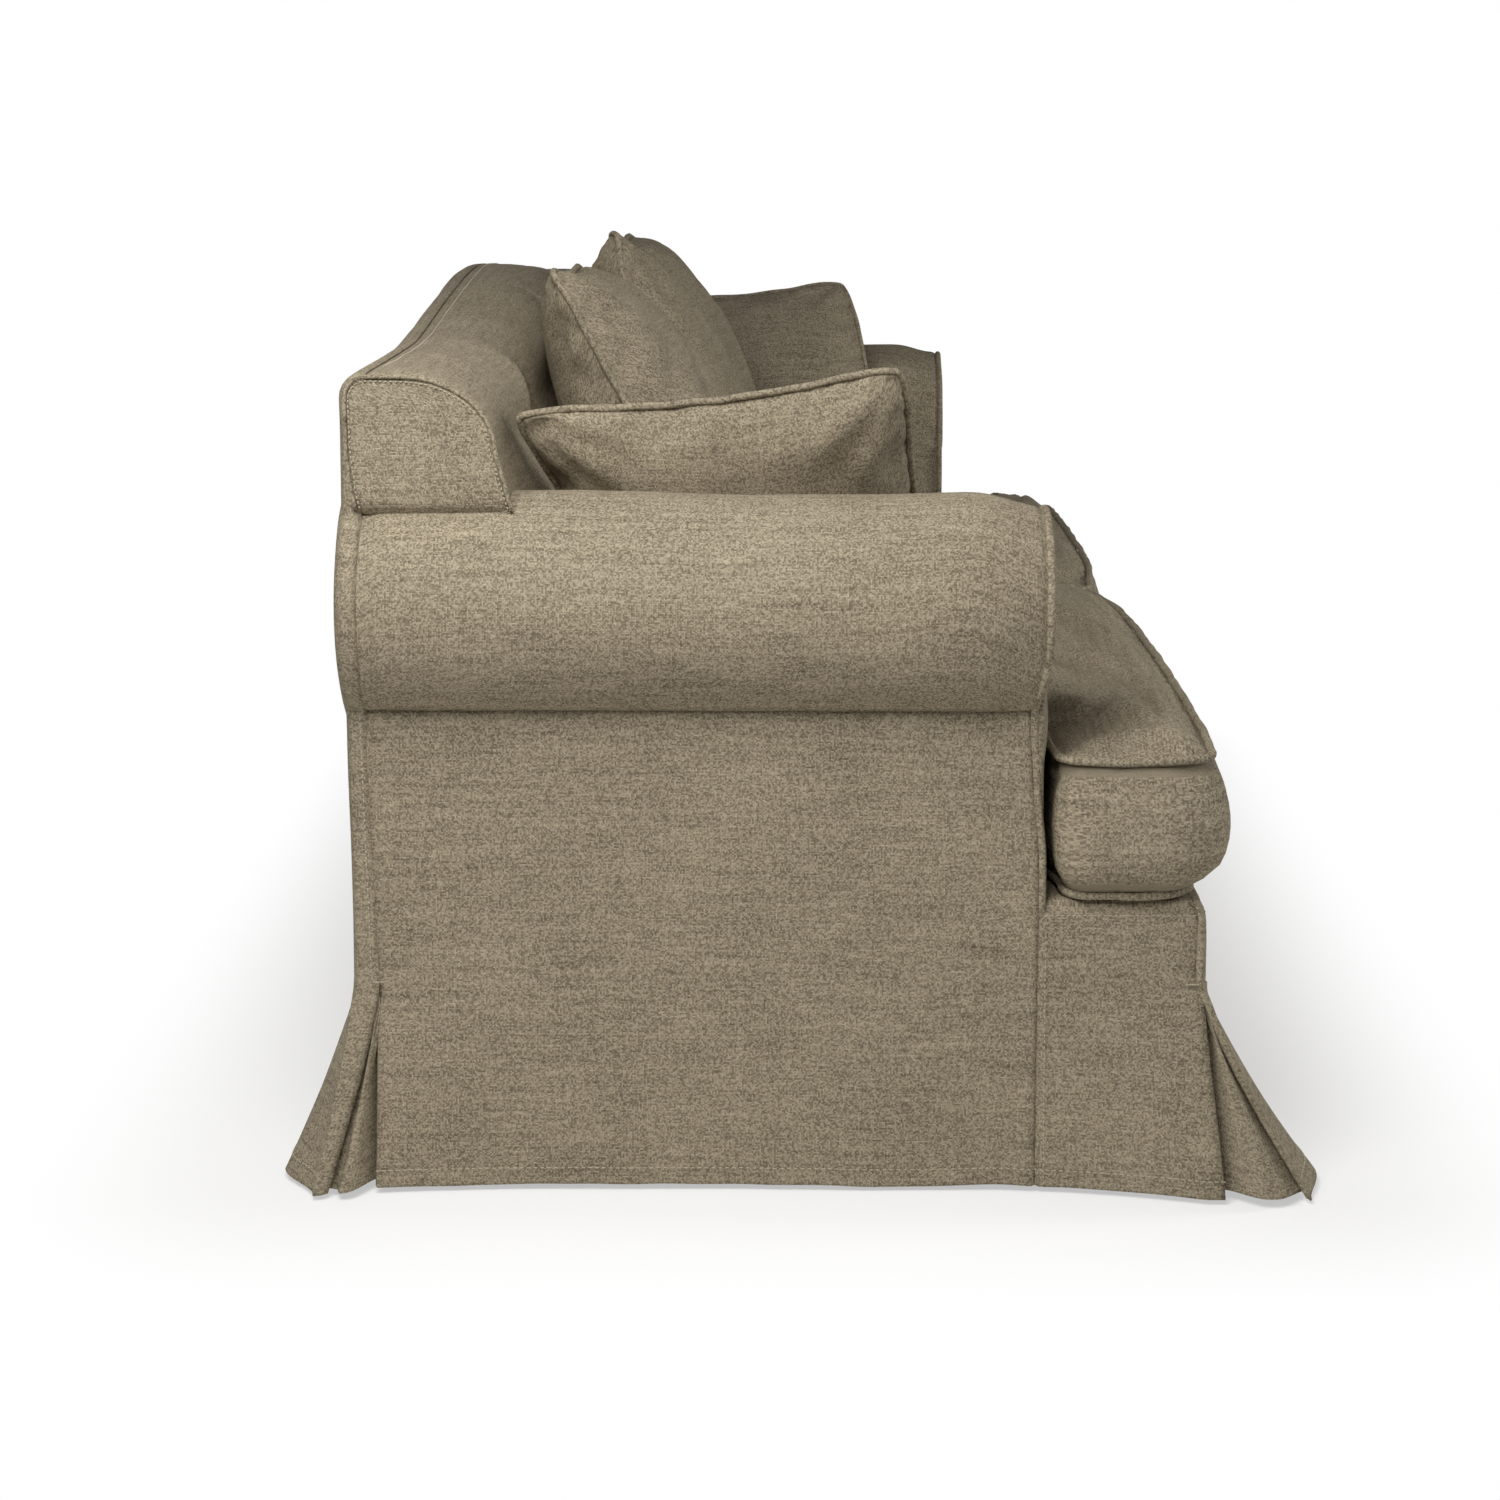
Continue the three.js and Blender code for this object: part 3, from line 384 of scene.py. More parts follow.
def sewing_thread():
    """Smooth thread with its twist as slanting lines."""
    material, add = new_material("polyester_thread")
    spot = add("TexCoord")["Object"]
    twist = add("TexWave", {"Vector": spot, "Scale": 300}, bands_direction="DIAGONAL")["Fac"]
    colour = add(
        "Mix", {"Factor": twist, "A": tint("#a29a83"), "B": tint("#c0b8a1")}, data_type="RGBA"
    )["Result"]
    shader = add("BsdfPrincipled", {"Base Color": colour, "Roughness": 0.6, "Specular IOR Level": 0.4})
    add("OutputMaterial", {0: shader[0]})
    return material


thread = sewing_thread()
print("thread:", thread.name)

# %% [markdown]
# The frame's rails, posts, boards and springs stay as the CAD model made them. They only get their
# finish here, picked by the words in their names.

# %% Finishing the frame
finished = []
for name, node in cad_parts.items():
    finish = None
    if name.startswith("seat_spring"):
        finish = spring_wire
    elif any(word in name for word in ("rail", "block", "foot", "post", "board", "former")):
        finish = beech
    if finish:
        node.data.materials.clear()
        node.data.materials.append(finish)
        finished.append(name)
print("finished", len(finished), "pieces of wood and wire")

# %% [markdown]
# Nearly every panel of the cover starts as a grid of points: rows down the cloth, columns across
# it. The grid gives the way the cloth faces, and a UV map measured in metres along the cloth,
# which is what the weave is drawn on.

# %% Measuring a grid of points


def unit(vectors):
    """Makes each vector one long."""
    length = np.linalg.norm(vectors, axis=-1, keepdims=True)
    return vectors / np.maximum(length, 1e-9)


def grid_normals(grid):
    """The way each point of a grid faces: columns run one way and rows the other."""
    return unit(np.cross(np.gradient(grid, axis=1), np.gradient(grid, axis=0)))


def cloth_uv(grid):
    """Distances in metres along the rows and down the columns."""
    across_steps = np.linalg.norm(np.diff(grid, axis=1), axis=2)
    down_steps = np.linalg.norm(np.diff(grid, axis=0), axis=2)
    u = np.pad(np.cumsum(across_steps, axis=1), ((0, 0), (1, 0)))
    v = np.pad(np.cumsum(down_steps, axis=0), ((1, 0), (0, 0)))
    middle = grid.shape[1] // 2
    u -= u[:, middle:middle + 1]
    return np.stack([u, v], axis=-1) * MM


def rim_of(rows, columns):
    """The numbers of a grid's edge points, once round."""
    rim = [(0, j) for j in range(columns)]
    rim += [(i, columns - 1) for i in range(1, rows)]
    rim += [(rows - 1, j) for j in range(columns - 2, -1, -1)]
    rim += [(i, 0) for i in range(rows - 2, 0, -1)]
    return rim


print("a grid of 10 by 20 points has", len(rim_of(10, 20)), "on its edge")

# %% [markdown]
# Every piece of cloth ends in the same way: its points are turned into metres, each point gets its
# UV place, the faces are turned outwards and the piece is set to ride on a body of the frame.

# %% Making a piece


def new_piece(name, points, faces, uvs, materials, body=None, parent=None, face_slots=None):
    """Makes a smooth-shaded object from points in mm, and lets it ride on a body."""
    mesh = bpy.data.meshes.new(name)
    mesh.from_pydata([tuple(float(c) * MM for c in p) for p in points], [], faces)
    layer = mesh.uv_layers.new(name="cloth")
    corners = np.empty(len(mesh.loops), dtype=int)
    mesh.loops.foreach_get("vertex_index", corners)
    layer.data.foreach_set("uv", np.asarray(uvs, float)[corners].ravel())
    for material in materials:
        mesh.materials.append(material)
    if face_slots is not None:
        mesh.polygons.foreach_set("material_index", face_slots)
    work = bmesh.new()
    work.from_mesh(mesh)
    bmesh.ops.recalc_face_normals(work, faces=work.faces)
    work.to_mesh(mesh)
    work.free()
    mesh.shade_smooth()
    made = bpy.data.objects.new(name, mesh)
    bpy.context.scene.collection.objects.link(made)
    if parent is not None:
        made.parent = parent
    if body is not None:
        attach(made, body)
    return made


print("a piece drawn", 1000, "mm long will be", 1000 * MM, "m long in the scene")

# %% [markdown]
# A sheet has an outer face, an inner one and a rim between them that stands out a little, like the
# turned edge of real cloth. A modifier could thicken a plane too, but this way the rim is round
# and both faces keep the cloth's UV map.

# %% A sheet of cloth
cloths = {}


def cloth_sheet(name, grid, material, thickness=CLOTH, body="sofa", way=1, weft_down=False):
    """A closed sheet whose outer face is the grid; way flips it, weft_down turns the weave."""
    grid = np.asarray(grid, float)
    rows, columns = grid.shape[:2]
    each = rows * columns
    under = grid - way * grid_normals(grid) * thickness
    uv = cloth_uv(grid)
    if weft_down:
        uv = uv[..., ::-1]
    rim = rim_of(rows, columns)
    inner = [(min(max(i, 1), rows - 2), min(max(j, 1), columns - 2)) for i, j in rim]
    edge = np.array([(grid[a] + under[a]) / 2 for a in rim])
    out = unit(np.array([grid[a] - grid[b] for a, b in zip(rim, inner)]))
    edge += out * min(1.0, thickness * 0.4)
    points = np.concatenate([grid.reshape(-1, 3), under.reshape(-1, 3), edge])
    uvs = np.concatenate([uv.reshape(-1, 2), uv.reshape(-1, 2), np.array([uv[a] for a in rim])])
    faces = []
    for i in range(rows - 1):
        for j in range(columns - 1):
            a = i * columns + j
            quad = (a, a + 1, a + columns + 1, a + columns)
            faces.append(quad)
            faces.append(tuple(each + k for k in reversed(quad)))
    loop = [i * columns + j for i, j in rim]
    count = len(loop)
    for n in range(count):
        m = (n + 1) % count
        faces.append((loop[n], loop[m], 2 * each + m, 2 * each + n))
        faces.append((2 * each + n, 2 * each + m, each + loop[m], each + loop[n]))
    made = new_piece(name, points, faces, uvs, [material], body)
    cloths[name] = (made, grid, way)
    return made


print("a sheet is", CLOTH, "mm thick unless it is told otherwise")

# %% [markdown]
# Each panel was cut flat before it was sewn.

# %% The flat cut of a sheet
SEAM_TURNING = 15


def flat_cut(grid, seam=SEAM_TURNING, hem=0):
    """The rectangle a panel is cut from, in metres, and the area it uses, with its turnings."""
    grid = np.asarray(grid, float)
    across_steps = np.linalg.norm(np.diff(grid, axis=1), axis=2).sum(axis=1)
    down_steps = np.linalg.norm(np.diff(grid, axis=0), axis=2).sum(axis=0)
    width = across_steps.max() + 2 * seam
    length = down_steps.max() + seam + hem
    area = (across_steps.mean() + 2 * seam) * (down_steps.mean() + seam + hem)
    return (width * MM, length * MM), min(area, width * length) * MM * MM


cuts = {}


def declare_sheet(piece, grid, seam=SEAM_TURNING, hem=0):
    flat, area = flat_cut(grid, seam, hem)
    cuts[piece.name] = [round(flat[0], 3), round(flat[1], 3), round(area, 3)]


one_metre = [[(0, 0, 0), (1000, 0, 0)], [(0, 0, 1000), (1000, 0, 1000)]]
print("a finished square metre without a hem is cut as", flat_cut(one_metre)[0], "m")

# %% [markdown]
# Cloth is never dead flat. Smooth noise moves each point a little, with long soft waves and
# smaller ones on top. The noise depends only on the place, so the result is the same each time.

# %% Life in the cloth


def wander(point, size, seed=0.0):
    """Smooth noise from about -1 to 1 whose waves are a size in mm."""
    return noise.noise(Vector(point) / size + Vector((seed, seed * 0.7, seed * 1.3)))


def relaxed(grid, amounts, seed=0.0, keep=None, way=1, lowest=-99.0, lift=0.0, folds=None):
    """Moves a grid's points in and out by noise of several sizes, but not below a lowest shift."""
    grid = np.asarray(grid, float)
    facing = way * grid_normals(grid)
    moved = grid.copy()
    for i in range(grid.shape[0]):
        for j in range(grid.shape[1]):
            shift = lift + sum(amount * wander(grid[i, j], size, seed) for size, amount in amounts)
            if folds is not None:
                shift += folds(grid[i, j])
            if keep is not None:
                shift *= keep(grid[i, j])
            moved[i, j] += facing[i, j] * max(shift, lowest)
    return moved


def mirrored(grid):
    """The left-hand copy of a right-hand grid, with its columns turned round."""
    grid = np.asarray(grid, float)[:, ::-1].copy()
    grid[..., 0] *= -1
    return grid


def steps(low, high, gap):
    """Even places from low to high, about a gap apart."""
    return np.linspace(low, high, max(2, int(round(abs(high - low) / gap)) + 1))


print("noise over the left arm:", round(wander((-ROLL_X, 0, ROLL_Z), 120), 3))

# %% [markdown]
# Piping is a cord covered with linen cut on the bias and caught in a seam. It is built as a tube
# along the seam, with its UV map turned by 45 degrees, so the weave winds round it like the lay
# of a rope. A real one wavers where the seam pulls, so the path gets a little noise.

# %% Piping
BIAS = 0.7071  # sine and cosine of a bias cut's 45 degrees


def resampled(path, gap, closed=False):
    """Points an even gap apart along a path."""
    path = np.asarray(path, float)
    if closed:
        path = np.concatenate([path, path[:1]])
    lengths = np.linalg.norm(np.diff(path, axis=0), axis=1)
    places = np.concatenate([[0], np.cumsum(lengths)])
    count = max(2, int(round(places[-1] / gap)) + 1)
    wanted = np.linspace(0, places[-1], count)
    if closed:
        wanted = wanted[:-1]
    return np.stack([np.interp(wanted, places, path[:, k]) for k in range(3)], axis=1)


def tube_points(path, radius, sides, closed):
    """Rings of points round a path, turned as little as possible from one to the next."""
    if closed:
        ahead = unit(np.roll(path, -1, axis=0) - np.roll(path, 1, axis=0))
    else:
        ahead = unit(np.gradient(path, axis=0))
    side = np.cross(ahead[0], (0.3, 0.5, 0.81))
    side /= np.linalg.norm(side)
    rings = []
    for centre, way in zip(path, ahead):
        side = side - way * np.dot(side, way)
        side /= np.linalg.norm(side)
        other = np.cross(way, side)
        angles = np.linspace(0, 2 * math.pi, sides, endpoint=False)
        rings.append(centre + radius * (np.outer(np.cos(angles), side)
                                        + np.outer(np.sin(angles), other)))
    return np.array(rings)


def piping(name, path, radius=4.0, closed=True, parent=None, body=None, waver=0.8, seed=0.0,
           gap=6.0, sides=10):
    """A covered cord along a path."""
    path = resampled(path, gap, closed)
    if waver:
        path = path + np.array([
            [waver * wander(p, 38, seed + k) for k in range(3)] for p in path
        ])
    rings = tube_points(path, radius, sides, closed)
    count = len(path)
    faces = []
    points = [tuple(p) for ring in rings for p in ring]
    uvs = []
    for i in range(count):
        for k in range(sides):
            run = i * gap
            # The seam of the cord's cover is hidden, so the weave may jump there
            turn_round = radius * 2 * math.pi * (0.5 - abs(k / sides - 0.5))
            uvs.append(((run + turn_round) * BIAS * MM, (turn_round - run) * BIAS * MM))
    for i in range(count if closed else count - 1):
        n = (i + 1) % count
        for k in range(sides):
            m = (k + 1) % sides
            faces.append((i * sides + k, i * sides + m, n * sides + m, n * sides + k))
    if not closed:
        faces.append(tuple(range(sides)))
        faces.append(tuple((count - 1) * sides + k for k in reversed(range(sides))))
    return new_piece(name, points, faces, uvs, [cord_linen], body, parent)


print("points on 1 m of piping:", len(resampled([(0, 0, 0), (1000, 0, 0)], 6.0)))

# %% [markdown]
# A stitch is a short drop of thread that sinks into the cloth at both ends. Each is real geometry,
# because a bump would vanish at the edge of a panel, where topstitching shows most.

# %% Stitches
STITCH_SIDES = 6


def stitches(name, path, facing, parent, pitch=5.0, length=3.4, radius=0.75, lift=0.3):
    """A row of sewn stitches along a path, lying on cloth that faces the given way."""
    drawn = np.asarray(path, float)
    path = resampled(drawn, pitch)
    ahead = unit(np.gradient(path, axis=0))
    facing = np.broadcast_to(np.asarray(facing, float), drawn.shape)
    facing = facing[[int(np.argmin(((drawn - p) ** 2).sum(axis=1))) for p in path]]
    points, faces, uvs = [], [], []
    profile = ((-0.5, 0.35, -0.5), (-0.3, 1.0, 0.25), (0.3, 1.0, 0.25), (0.5, 0.35, -0.5))
    for centre, way, up in zip(path, ahead, unit(facing)):
        side = np.cross(up, way)
        start = len(points)
        for share, swell, rise in profile:
            middle = centre + way * share * length + up * (lift + rise * radius)
            for angle in np.linspace(0, 2 * math.pi, STITCH_SIDES, endpoint=False):
                offset = side * math.cos(angle) + up * math.sin(angle)
                points.append(tuple(middle + offset * radius * swell))
                uvs.append((0, 0))
        for ring in range(len(profile) - 1):
            a = start + ring * STITCH_SIDES
            b = a + STITCH_SIDES
            for k in range(STITCH_SIDES):
                m = (k + 1) % STITCH_SIDES
                faces.append((a + k, a + m, b + m, b + k))
        faces.append(tuple(start + k for k in range(STITCH_SIDES)))
        faces.append(tuple(b + k for k in reversed(range(STITCH_SIDES))))
    return new_piece(name, points, faces, uvs, [thread], None, parent)


print("corners of one stitch:", 4 * STITCH_SIDES)

# %% [markdown]
# The arm is padded all round its roll, and the cover is pulled over it from the seam outside to
# the seat inside. The body is drawn as a section that runs along the arm. Near the facing the
# section closes in a little, because the seam there pulls the cover tight.

# %% The arm's section
ROLL_START = -math.acos((PANEL_X - ROLL_X) / ROLL_R)  # angle at the seam outside
ROLL_END = math.pi + math.acos((ROLL_X - INNER_X) / ROLL_R)  # angle at the wall inside


def roll_radius(turn, tighten):
    """Radius of the arm's roll, drawn in by an amount except at the seam outside."""
    return ROLL_R - tighten * smooth(-1.02, -0.25, turn)


def arm_section(tighten):
    """Points over the arm from the seam outside to the seat inside, drawn in by an amount."""
    turns = np.linspace(ROLL_START, ROLL_END, 58)
    over = [(ROLL_X + roll_radius(a, tighten) * math.cos(a),
             ROLL_Z + roll_radius(a, tighten) * math.sin(a)) for a in turns]
    wall_x = INNER_X + tighten * 0.5
    wall = [(wall_x, z) for z in steps(over[-1][1] - 10, DECK_Z + 0.5, 14)]
    return [(max(x, wall_x) if a > 2.6 else x, z) for (x, z), a in zip(over, turns)] + wall


def arm_grid():
    """The right arm's cover: each row is a section, from the front to the rear."""
    front = ARM_FRONT_Y + 1.5
    places = np.concatenate([front + np.array([0, 1, 2.5, 5, 8, 12, 17]),
                             steps(front + 23, front + 60, 6)[:-1],
                             steps(front + 60, STRIP_Y - 24, 12),
                             [STRIP_Y - 16, STRIP_Y - 8, STRIP_Y - 3, STRIP_Y - 0.5]])
    rows = []
    for y in places:
        near_front = 1 - smooth(0, 75, y - front)
        near_rear = 1 - smooth(0, 26, STRIP_Y - y)
        tighten = 13.0 * near_front**1.3 + 3.0 * (1 - smooth(0, 8, y - front)) + 4.0 * near_rear
        drawn = 1 - smooth(0, 60, y - front)
        rows.append([(x, y + drawn * front_edge(z) * (x > ROLL_X), z)
                     for x, z in arm_section(tighten)])
    grid = np.array(rows)
    # The lower edge turns in where it is sewn to the panel below
    grid[:, 0, 0] -= 3.0
    grid[:, 0, 2] -= 1.0
    return grid


def arm_calm(p):
    """Noise fades out at the seams."""
    low = smooth(SEAM_Z - 5, SEAM_Z + 40, p[2]) if abs(p[0]) > ROLL_X else 1
    return low * smooth(0, 30, p[1] - ARM_FRONT_Y) * smooth(0, 25, STRIP_Y - p[1])


arms = {}
for side, seed in (("right", 4.0), ("left", 9.0)):
    grid = arm_grid()
    grid = relaxed(grid, ((260, 3.2), (95, 1.5), (42, 0.5)), seed, arm_calm)
    if side == "left":
        grid = mirrored(grid)
    body = cloth_sheet("arm_body_" + side, grid, cover_linen, 20.0, way=-1, weft_down=True)
    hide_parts("arm_cover_" + side, "arm_padding_" + side)
    arms[side] = (body, grid)
print("arm bodies:", [len(arms[s][0].data.polygons) for s in arms], "faces")

# %% [markdown]
# The facing closes the front of the arm. It is a flat piece in the shape of a scroll, a little
# fuller over the roll where the padding presses on it, and a piped seam runs round its edge.

# %% Arm facings and their piping
FACING_COLUMNS = 19
TURN_BELOW = 70  # how far below the roll's middle the facing's rows start to follow it


def facing_outline():
    """The line of the facing's piped seam, from the deck outside to the deck inside."""
    path = [(PANEL_X - 2.5, DECK_Z - 16), (PANEL_X - 2.0, 330), (PANEL_X - 1.0, 400),
            (PANEL_X - 1.5, SEAM_Z - 8)]
    for a in np.linspace(ROLL_START + 0.06, ROLL_END - 0.05, 60):
        r = roll_radius(a, 11.5) - 4
        path.append((ROLL_X + r * math.cos(a), ROLL_Z + r * math.sin(a)))
    path += [(INNER_X + 4, z) for z in (500, 440, 380, 330, DECK_Z + 5)]
    return np.array([(x, ARM_FRONT_Y - 0.5 + front_edge(z) * (x > ROLL_X), z) for x, z in path])


def facing_grid():
    """The right facing, seen from the front: rows go up the arm, columns across it."""
    outline = facing_outline()
    peak = int(np.argmax(outline[:, 2]))
    outside, inside = outline[:peak + 1], outline[peak:][::-1]
    top = outline[peak, 2] - 3
    low_rows = steps(DECK_Z + 0.5, ROLL_Z - TURN_BELOW, 12)[:-1]
    turns = np.linspace(math.asin(-TURN_BELOW / (top - ROLL_Z)), math.radians(87), 24)
    rows = []
    for z in list(low_rows) + [ROLL_Z + (top - ROLL_Z) * math.sin(a) for a in turns]:
        outer = np.interp(z, outside[:, 2], outside[:, 0]) - 2.5
        inner = np.interp(z, inside[:, 2], inside[:, 0]) + 2.5
        rows.append([(x, ARM_FRONT_Y + 1, z) for x in np.linspace(inner, outer, FACING_COLUMNS)])
    grid = np.array(rows)
    last = FACING_COLUMNS - 1
    for row in grid:
        for j, p in enumerate(row):
            edge = min(j, last - j) / (last / 2)
            rise = smooth(0, 0.5, edge) * smooth(0, 60, ROLL_Z + ROLL_R - p[2])
            # Fuller over the roll, and a little just below it
            full = 3.0 + 5.5 * smooth(470, 520, p[2]) + 4.5 * math.exp(-(((p[2] - 446) / 34) ** 2))
            p[1] -= full * rise
    # Below the roll the facing is carried round the corner to its seam on the side
    for row in grid:
        drawn = front_edge(row[0, 2])
        round_it = min(1.0, drawn / 4) * (row[0, 2] < SEAM_Z + 40)
        bend = ((-6, 0.0), (-1.6, 0.8), (0.9, 4.0), (1.0, drawn + 1.5))
        for j, (out, back_by) in zip(range(last - 3, last + 1), bend):
            target = np.array((PANEL_X + out, ARM_FRONT_Y + back_by, row[j, 2]))
            row[j] += (target - row[j]) * round_it
    return grid


facings = {}
for side, seed in (("right", 2.0), ("left", 6.0)):
    grid = relaxed(facing_grid(), ((90, 1.3), (40, 0.5)), seed)
    path = facing_outline()
    way = 1
    if side == "left":
        grid = mirrored(grid)
        path[:, 0] *= -1
    facing = cloth_sheet("arm_facing_panel_" + side, grid, cover_linen, CLOTH)
    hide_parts("arm_facing_" + side)
    declare_sheet(facing, grid)
    facings[side] = facing
    cord = piping("arm_piping_" + side, path, 3.8, False, body="sofa", waver=0.9, seed=seed)
print("facings:", list(facings))

# %% [markdown]
# The inside back is one padded body from arm to arm. Its section starts at the seam on top of the
# back, rolls forward over the crest and runs down, raked, to the deck. Over the arms it stops on
# the rolls. At its two ends the padding rounds off before the boxing closes it.

# %% The inside back's section
SEAM_Y = 398  # seam along the back's upper rear edge
CREST_Y = 364  # middle of the crest's curve
CREST_DEPTH = 86  # how far the crest rolls forward from there
END_ROUND = 24  # over how much of its length each end rounds off


def back_section(x, inset):
    """The section of the back's front and top at a place along the sofa, as (y, z)."""
    top = camel_top(x) - inset
    points = [(SEAM_Y, top - 2.5), (SEAM_Y - 5, top - 0.4), (SEAM_Y - 14, top)]
    for angle in np.linspace(math.pi / 2, math.pi, 14):
        y = CREST_Y + CREST_DEPTH * math.cos(angle) + inset * (1 - math.sin(angle))
        points.append((y, top - CREST_HEIGHT + CREST_HEIGHT * math.sin(angle)))
    wall_heights = steps(top - CREST_HEIGHT - 8, DECK_Z + 0.5, 14)
    return np.array(points + [(inside_back_y(x, z) + inset, z) for z in wall_heights])


def cut_at(section, low):
    """Keeps a section's part above a height, ending exactly on it."""
    for i in range(1, len(section)):
        if section[i, 1] < low:
            a, b = section[i - 1], section[i]
            share = (a[1] - low) / (a[1] - b[1])
            return np.concatenate([section[:i], [a + (b - a) * share]])
    return section


def roll_top(x):
    """Height of the arm's roll at a place along the sofa."""
    return ROLL_Z + math.sqrt(max(0.0, ROLL_R**2 - (abs(x) - ROLL_X) ** 2))


def end_inset(x):
    """How far the padding rounds off towards an end of the back."""
    return 4.5 * (1 - quarter_round(abs(x), PANEL_X - END_ROUND, END_ROUND)) + 0.2


def spaced(section, count, power=1.0):
    """A number of points along a section, closer together at its start."""
    lengths = np.linalg.norm(np.diff(section, axis=0), axis=1)
    run = np.concatenate([[0], np.cumsum(lengths)])
    wanted = np.linspace(0, 1, count) ** power * run[-1]
    return np.column_stack([np.interp(wanted, run, section[:, k]) for k in (0, 1)])


print("section in the middle:", len(back_section(0, 0)), "points; the roll's top:", roll_top(ROLL_X))

# %% [markdown]
# The section is repeated from end to end, closer together at the ends. Noise and slanting drags
# slacken it, because a loose cover is pulled towards the arms where it is tucked in.

# %% The inside back
UPPER_ROWS = 32  # from the top seam to the height of the arm's roll
LOWER_ROWS = 18


def back_grid():
    """Rows run from the top seam down, columns from the left end to the right one."""
    half = np.concatenate([steps(0, INNER_X - 2, 22), [INNER_X + 0.5],
                           steps(INNER_X + 14, PANEL_X - 40, 18)[:-1],
                           PANEL_X - np.array([40, 32, 24, 17, 11, 6, 3, 1.5])])
    places = np.concatenate([-half[:0:-1], half])
    columns = []
    for x in places:
        section = back_section(x, end_inset(x))
        over_arm = abs(x) > INNER_X
        low = roll_top(x) - 10.0 if over_arm else roll_top(INNER_X)
        upper = spaced(cut_at(section, low), UPPER_ROWS, 1.15)
        y, z = upper[-1]
        if over_arm:
            # Over the arm the padding ends on the roll, so these rows are drawn together there
            lower = [(y, z - 0.04 * k) for k in range(1, LOWER_ROWS + 1)]
        else:
            heights = np.linspace(z, DECK_Z + 0.5, LOWER_ROWS + 1)[1:]
            lower = [(inside_back_y(x, h) + 0.2, h) for h in heights]
        columns.append([(x, y, z) for y, z in list(upper) + lower])
    return np.array(columns).transpose(1, 0, 2)


def back_wrinkles(p):
    """Slanting drags in the inside back, strongest at its ends."""
    x, y, z = p
    phase = 2 * math.pi * (0.45 * abs(x) + 0.9 * z) / 92 + 4.5 * wander(p, 210, 8.0)
    strong = smooth(-0.15, 0.45, wander(p, 170, 17.0)) * smooth(250, 620, abs(x))
    return 4.2 * math.sin(phase) * strong * smooth(INNER_X + 60, INNER_X - 60, abs(x))


def back_calm(p):
    """Noise fades out at the top seam and the ends."""
    return smooth(0, 40, SEAM_Y - p[1]) * smooth(0, 40, PANEL_X - abs(p[0]))


grid = relaxed(back_grid(), ((300, 3.5), (120, 2.2), (50, 0.8)), 14.0, back_calm,
               folds=back_wrinkles)
inside_back = cloth_sheet("inside_back_body", grid, cover_linen, 20.0, way=-1)
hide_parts("inside_back_cover", "back_padding")
print("inside back:", grid.shape[:2], "points")

# %% [markdown]
# A short boxing closes each end of the back above the arm. Its edge is a pressed seam with a
# narrow ridge and a row of stitches, and its foot is drawn in over the roll.

# %% Back end boxings
BOX_TOP = camel_top(PANEL_X) - 4.0
BOX_FOOT = 650
BOX_DEPTH = CREST_DEPTH - 2  # of its rounded front corner
BOX_HEIGHT = CREST_HEIGHT - 3
BOX_REAR_Y = 397.5  # where its rounded rear corner begins
BOX_REAR_R = 18


def boxing_edges(z):
    """Front and rear ends of the boxing at a height."""
    rear = strip_seam(z) + 0.8
    if z > BOX_TOP - BOX_REAR_R:
        rear = BOX_REAR_Y + BOX_REAR_R * quarter_round(z, BOX_TOP - BOX_REAR_R, BOX_REAR_R)
    front = CREST_Y - BOX_DEPTH * quarter_round(z, BOX_TOP - BOX_HEIGHT, BOX_HEIGHT)
    return front - 0.27 * max(0.0, BOX_TOP - BOX_HEIGHT - z), rear


def boxing_outline():
    """Once up the front, over the top and down the rear, as (y, z)."""
    front = [(boxing_edges(z)[0], z) for z in steps(BOX_FOOT, BOX_TOP - BOX_HEIGHT - 2, 8)]
    front += [(CREST_Y + BOX_DEPTH * math.cos(a), BOX_TOP - BOX_HEIGHT + BOX_HEIGHT * math.sin(a))
              for a in np.linspace(math.pi, math.pi / 2, 12)]
    rear = [(BOX_REAR_Y + BOX_REAR_R * math.cos(a), BOX_TOP - BOX_REAR_R + BOX_REAR_R * math.sin(a))
            for a in np.linspace(math.pi / 2, 0, 8)]
    rear += [(boxing_edges(z)[1] - 0.5, z) for z in steps(BOX_TOP - BOX_REAR_R - 8, BOX_FOOT, 8)]
    return front + rear


def boxing_grid():
    """The right boxing: rows go up, columns run from the front to the rear."""
    heights = np.concatenate([[645.2, 647.5, 650.5, 654.5], steps(660, BOX_TOP - 30, 8),
                              BOX_TOP - np.array([22, 15, 9, 5, 2.4, 0.8])])
    rows = []
    for z in heights:
        front, rear = boxing_edges(z)
        row = []
        for share in np.linspace(0, 1, 23):
            y = front + (rear - front) * share
            edge = min(y - front, rear - y, BOX_TOP - z, 60)
            tuck = 2.6 * (1 - smooth(0, 8, edge))
            foot = 6.5 * (1 - smooth(645, 657, z)) ** 1.6
            row.append((PANEL_X + 1.5 - tuck - foot + 2.5 * smooth(0, 60, edge), y, z))
        rows.append(row)
    return np.array(rows)


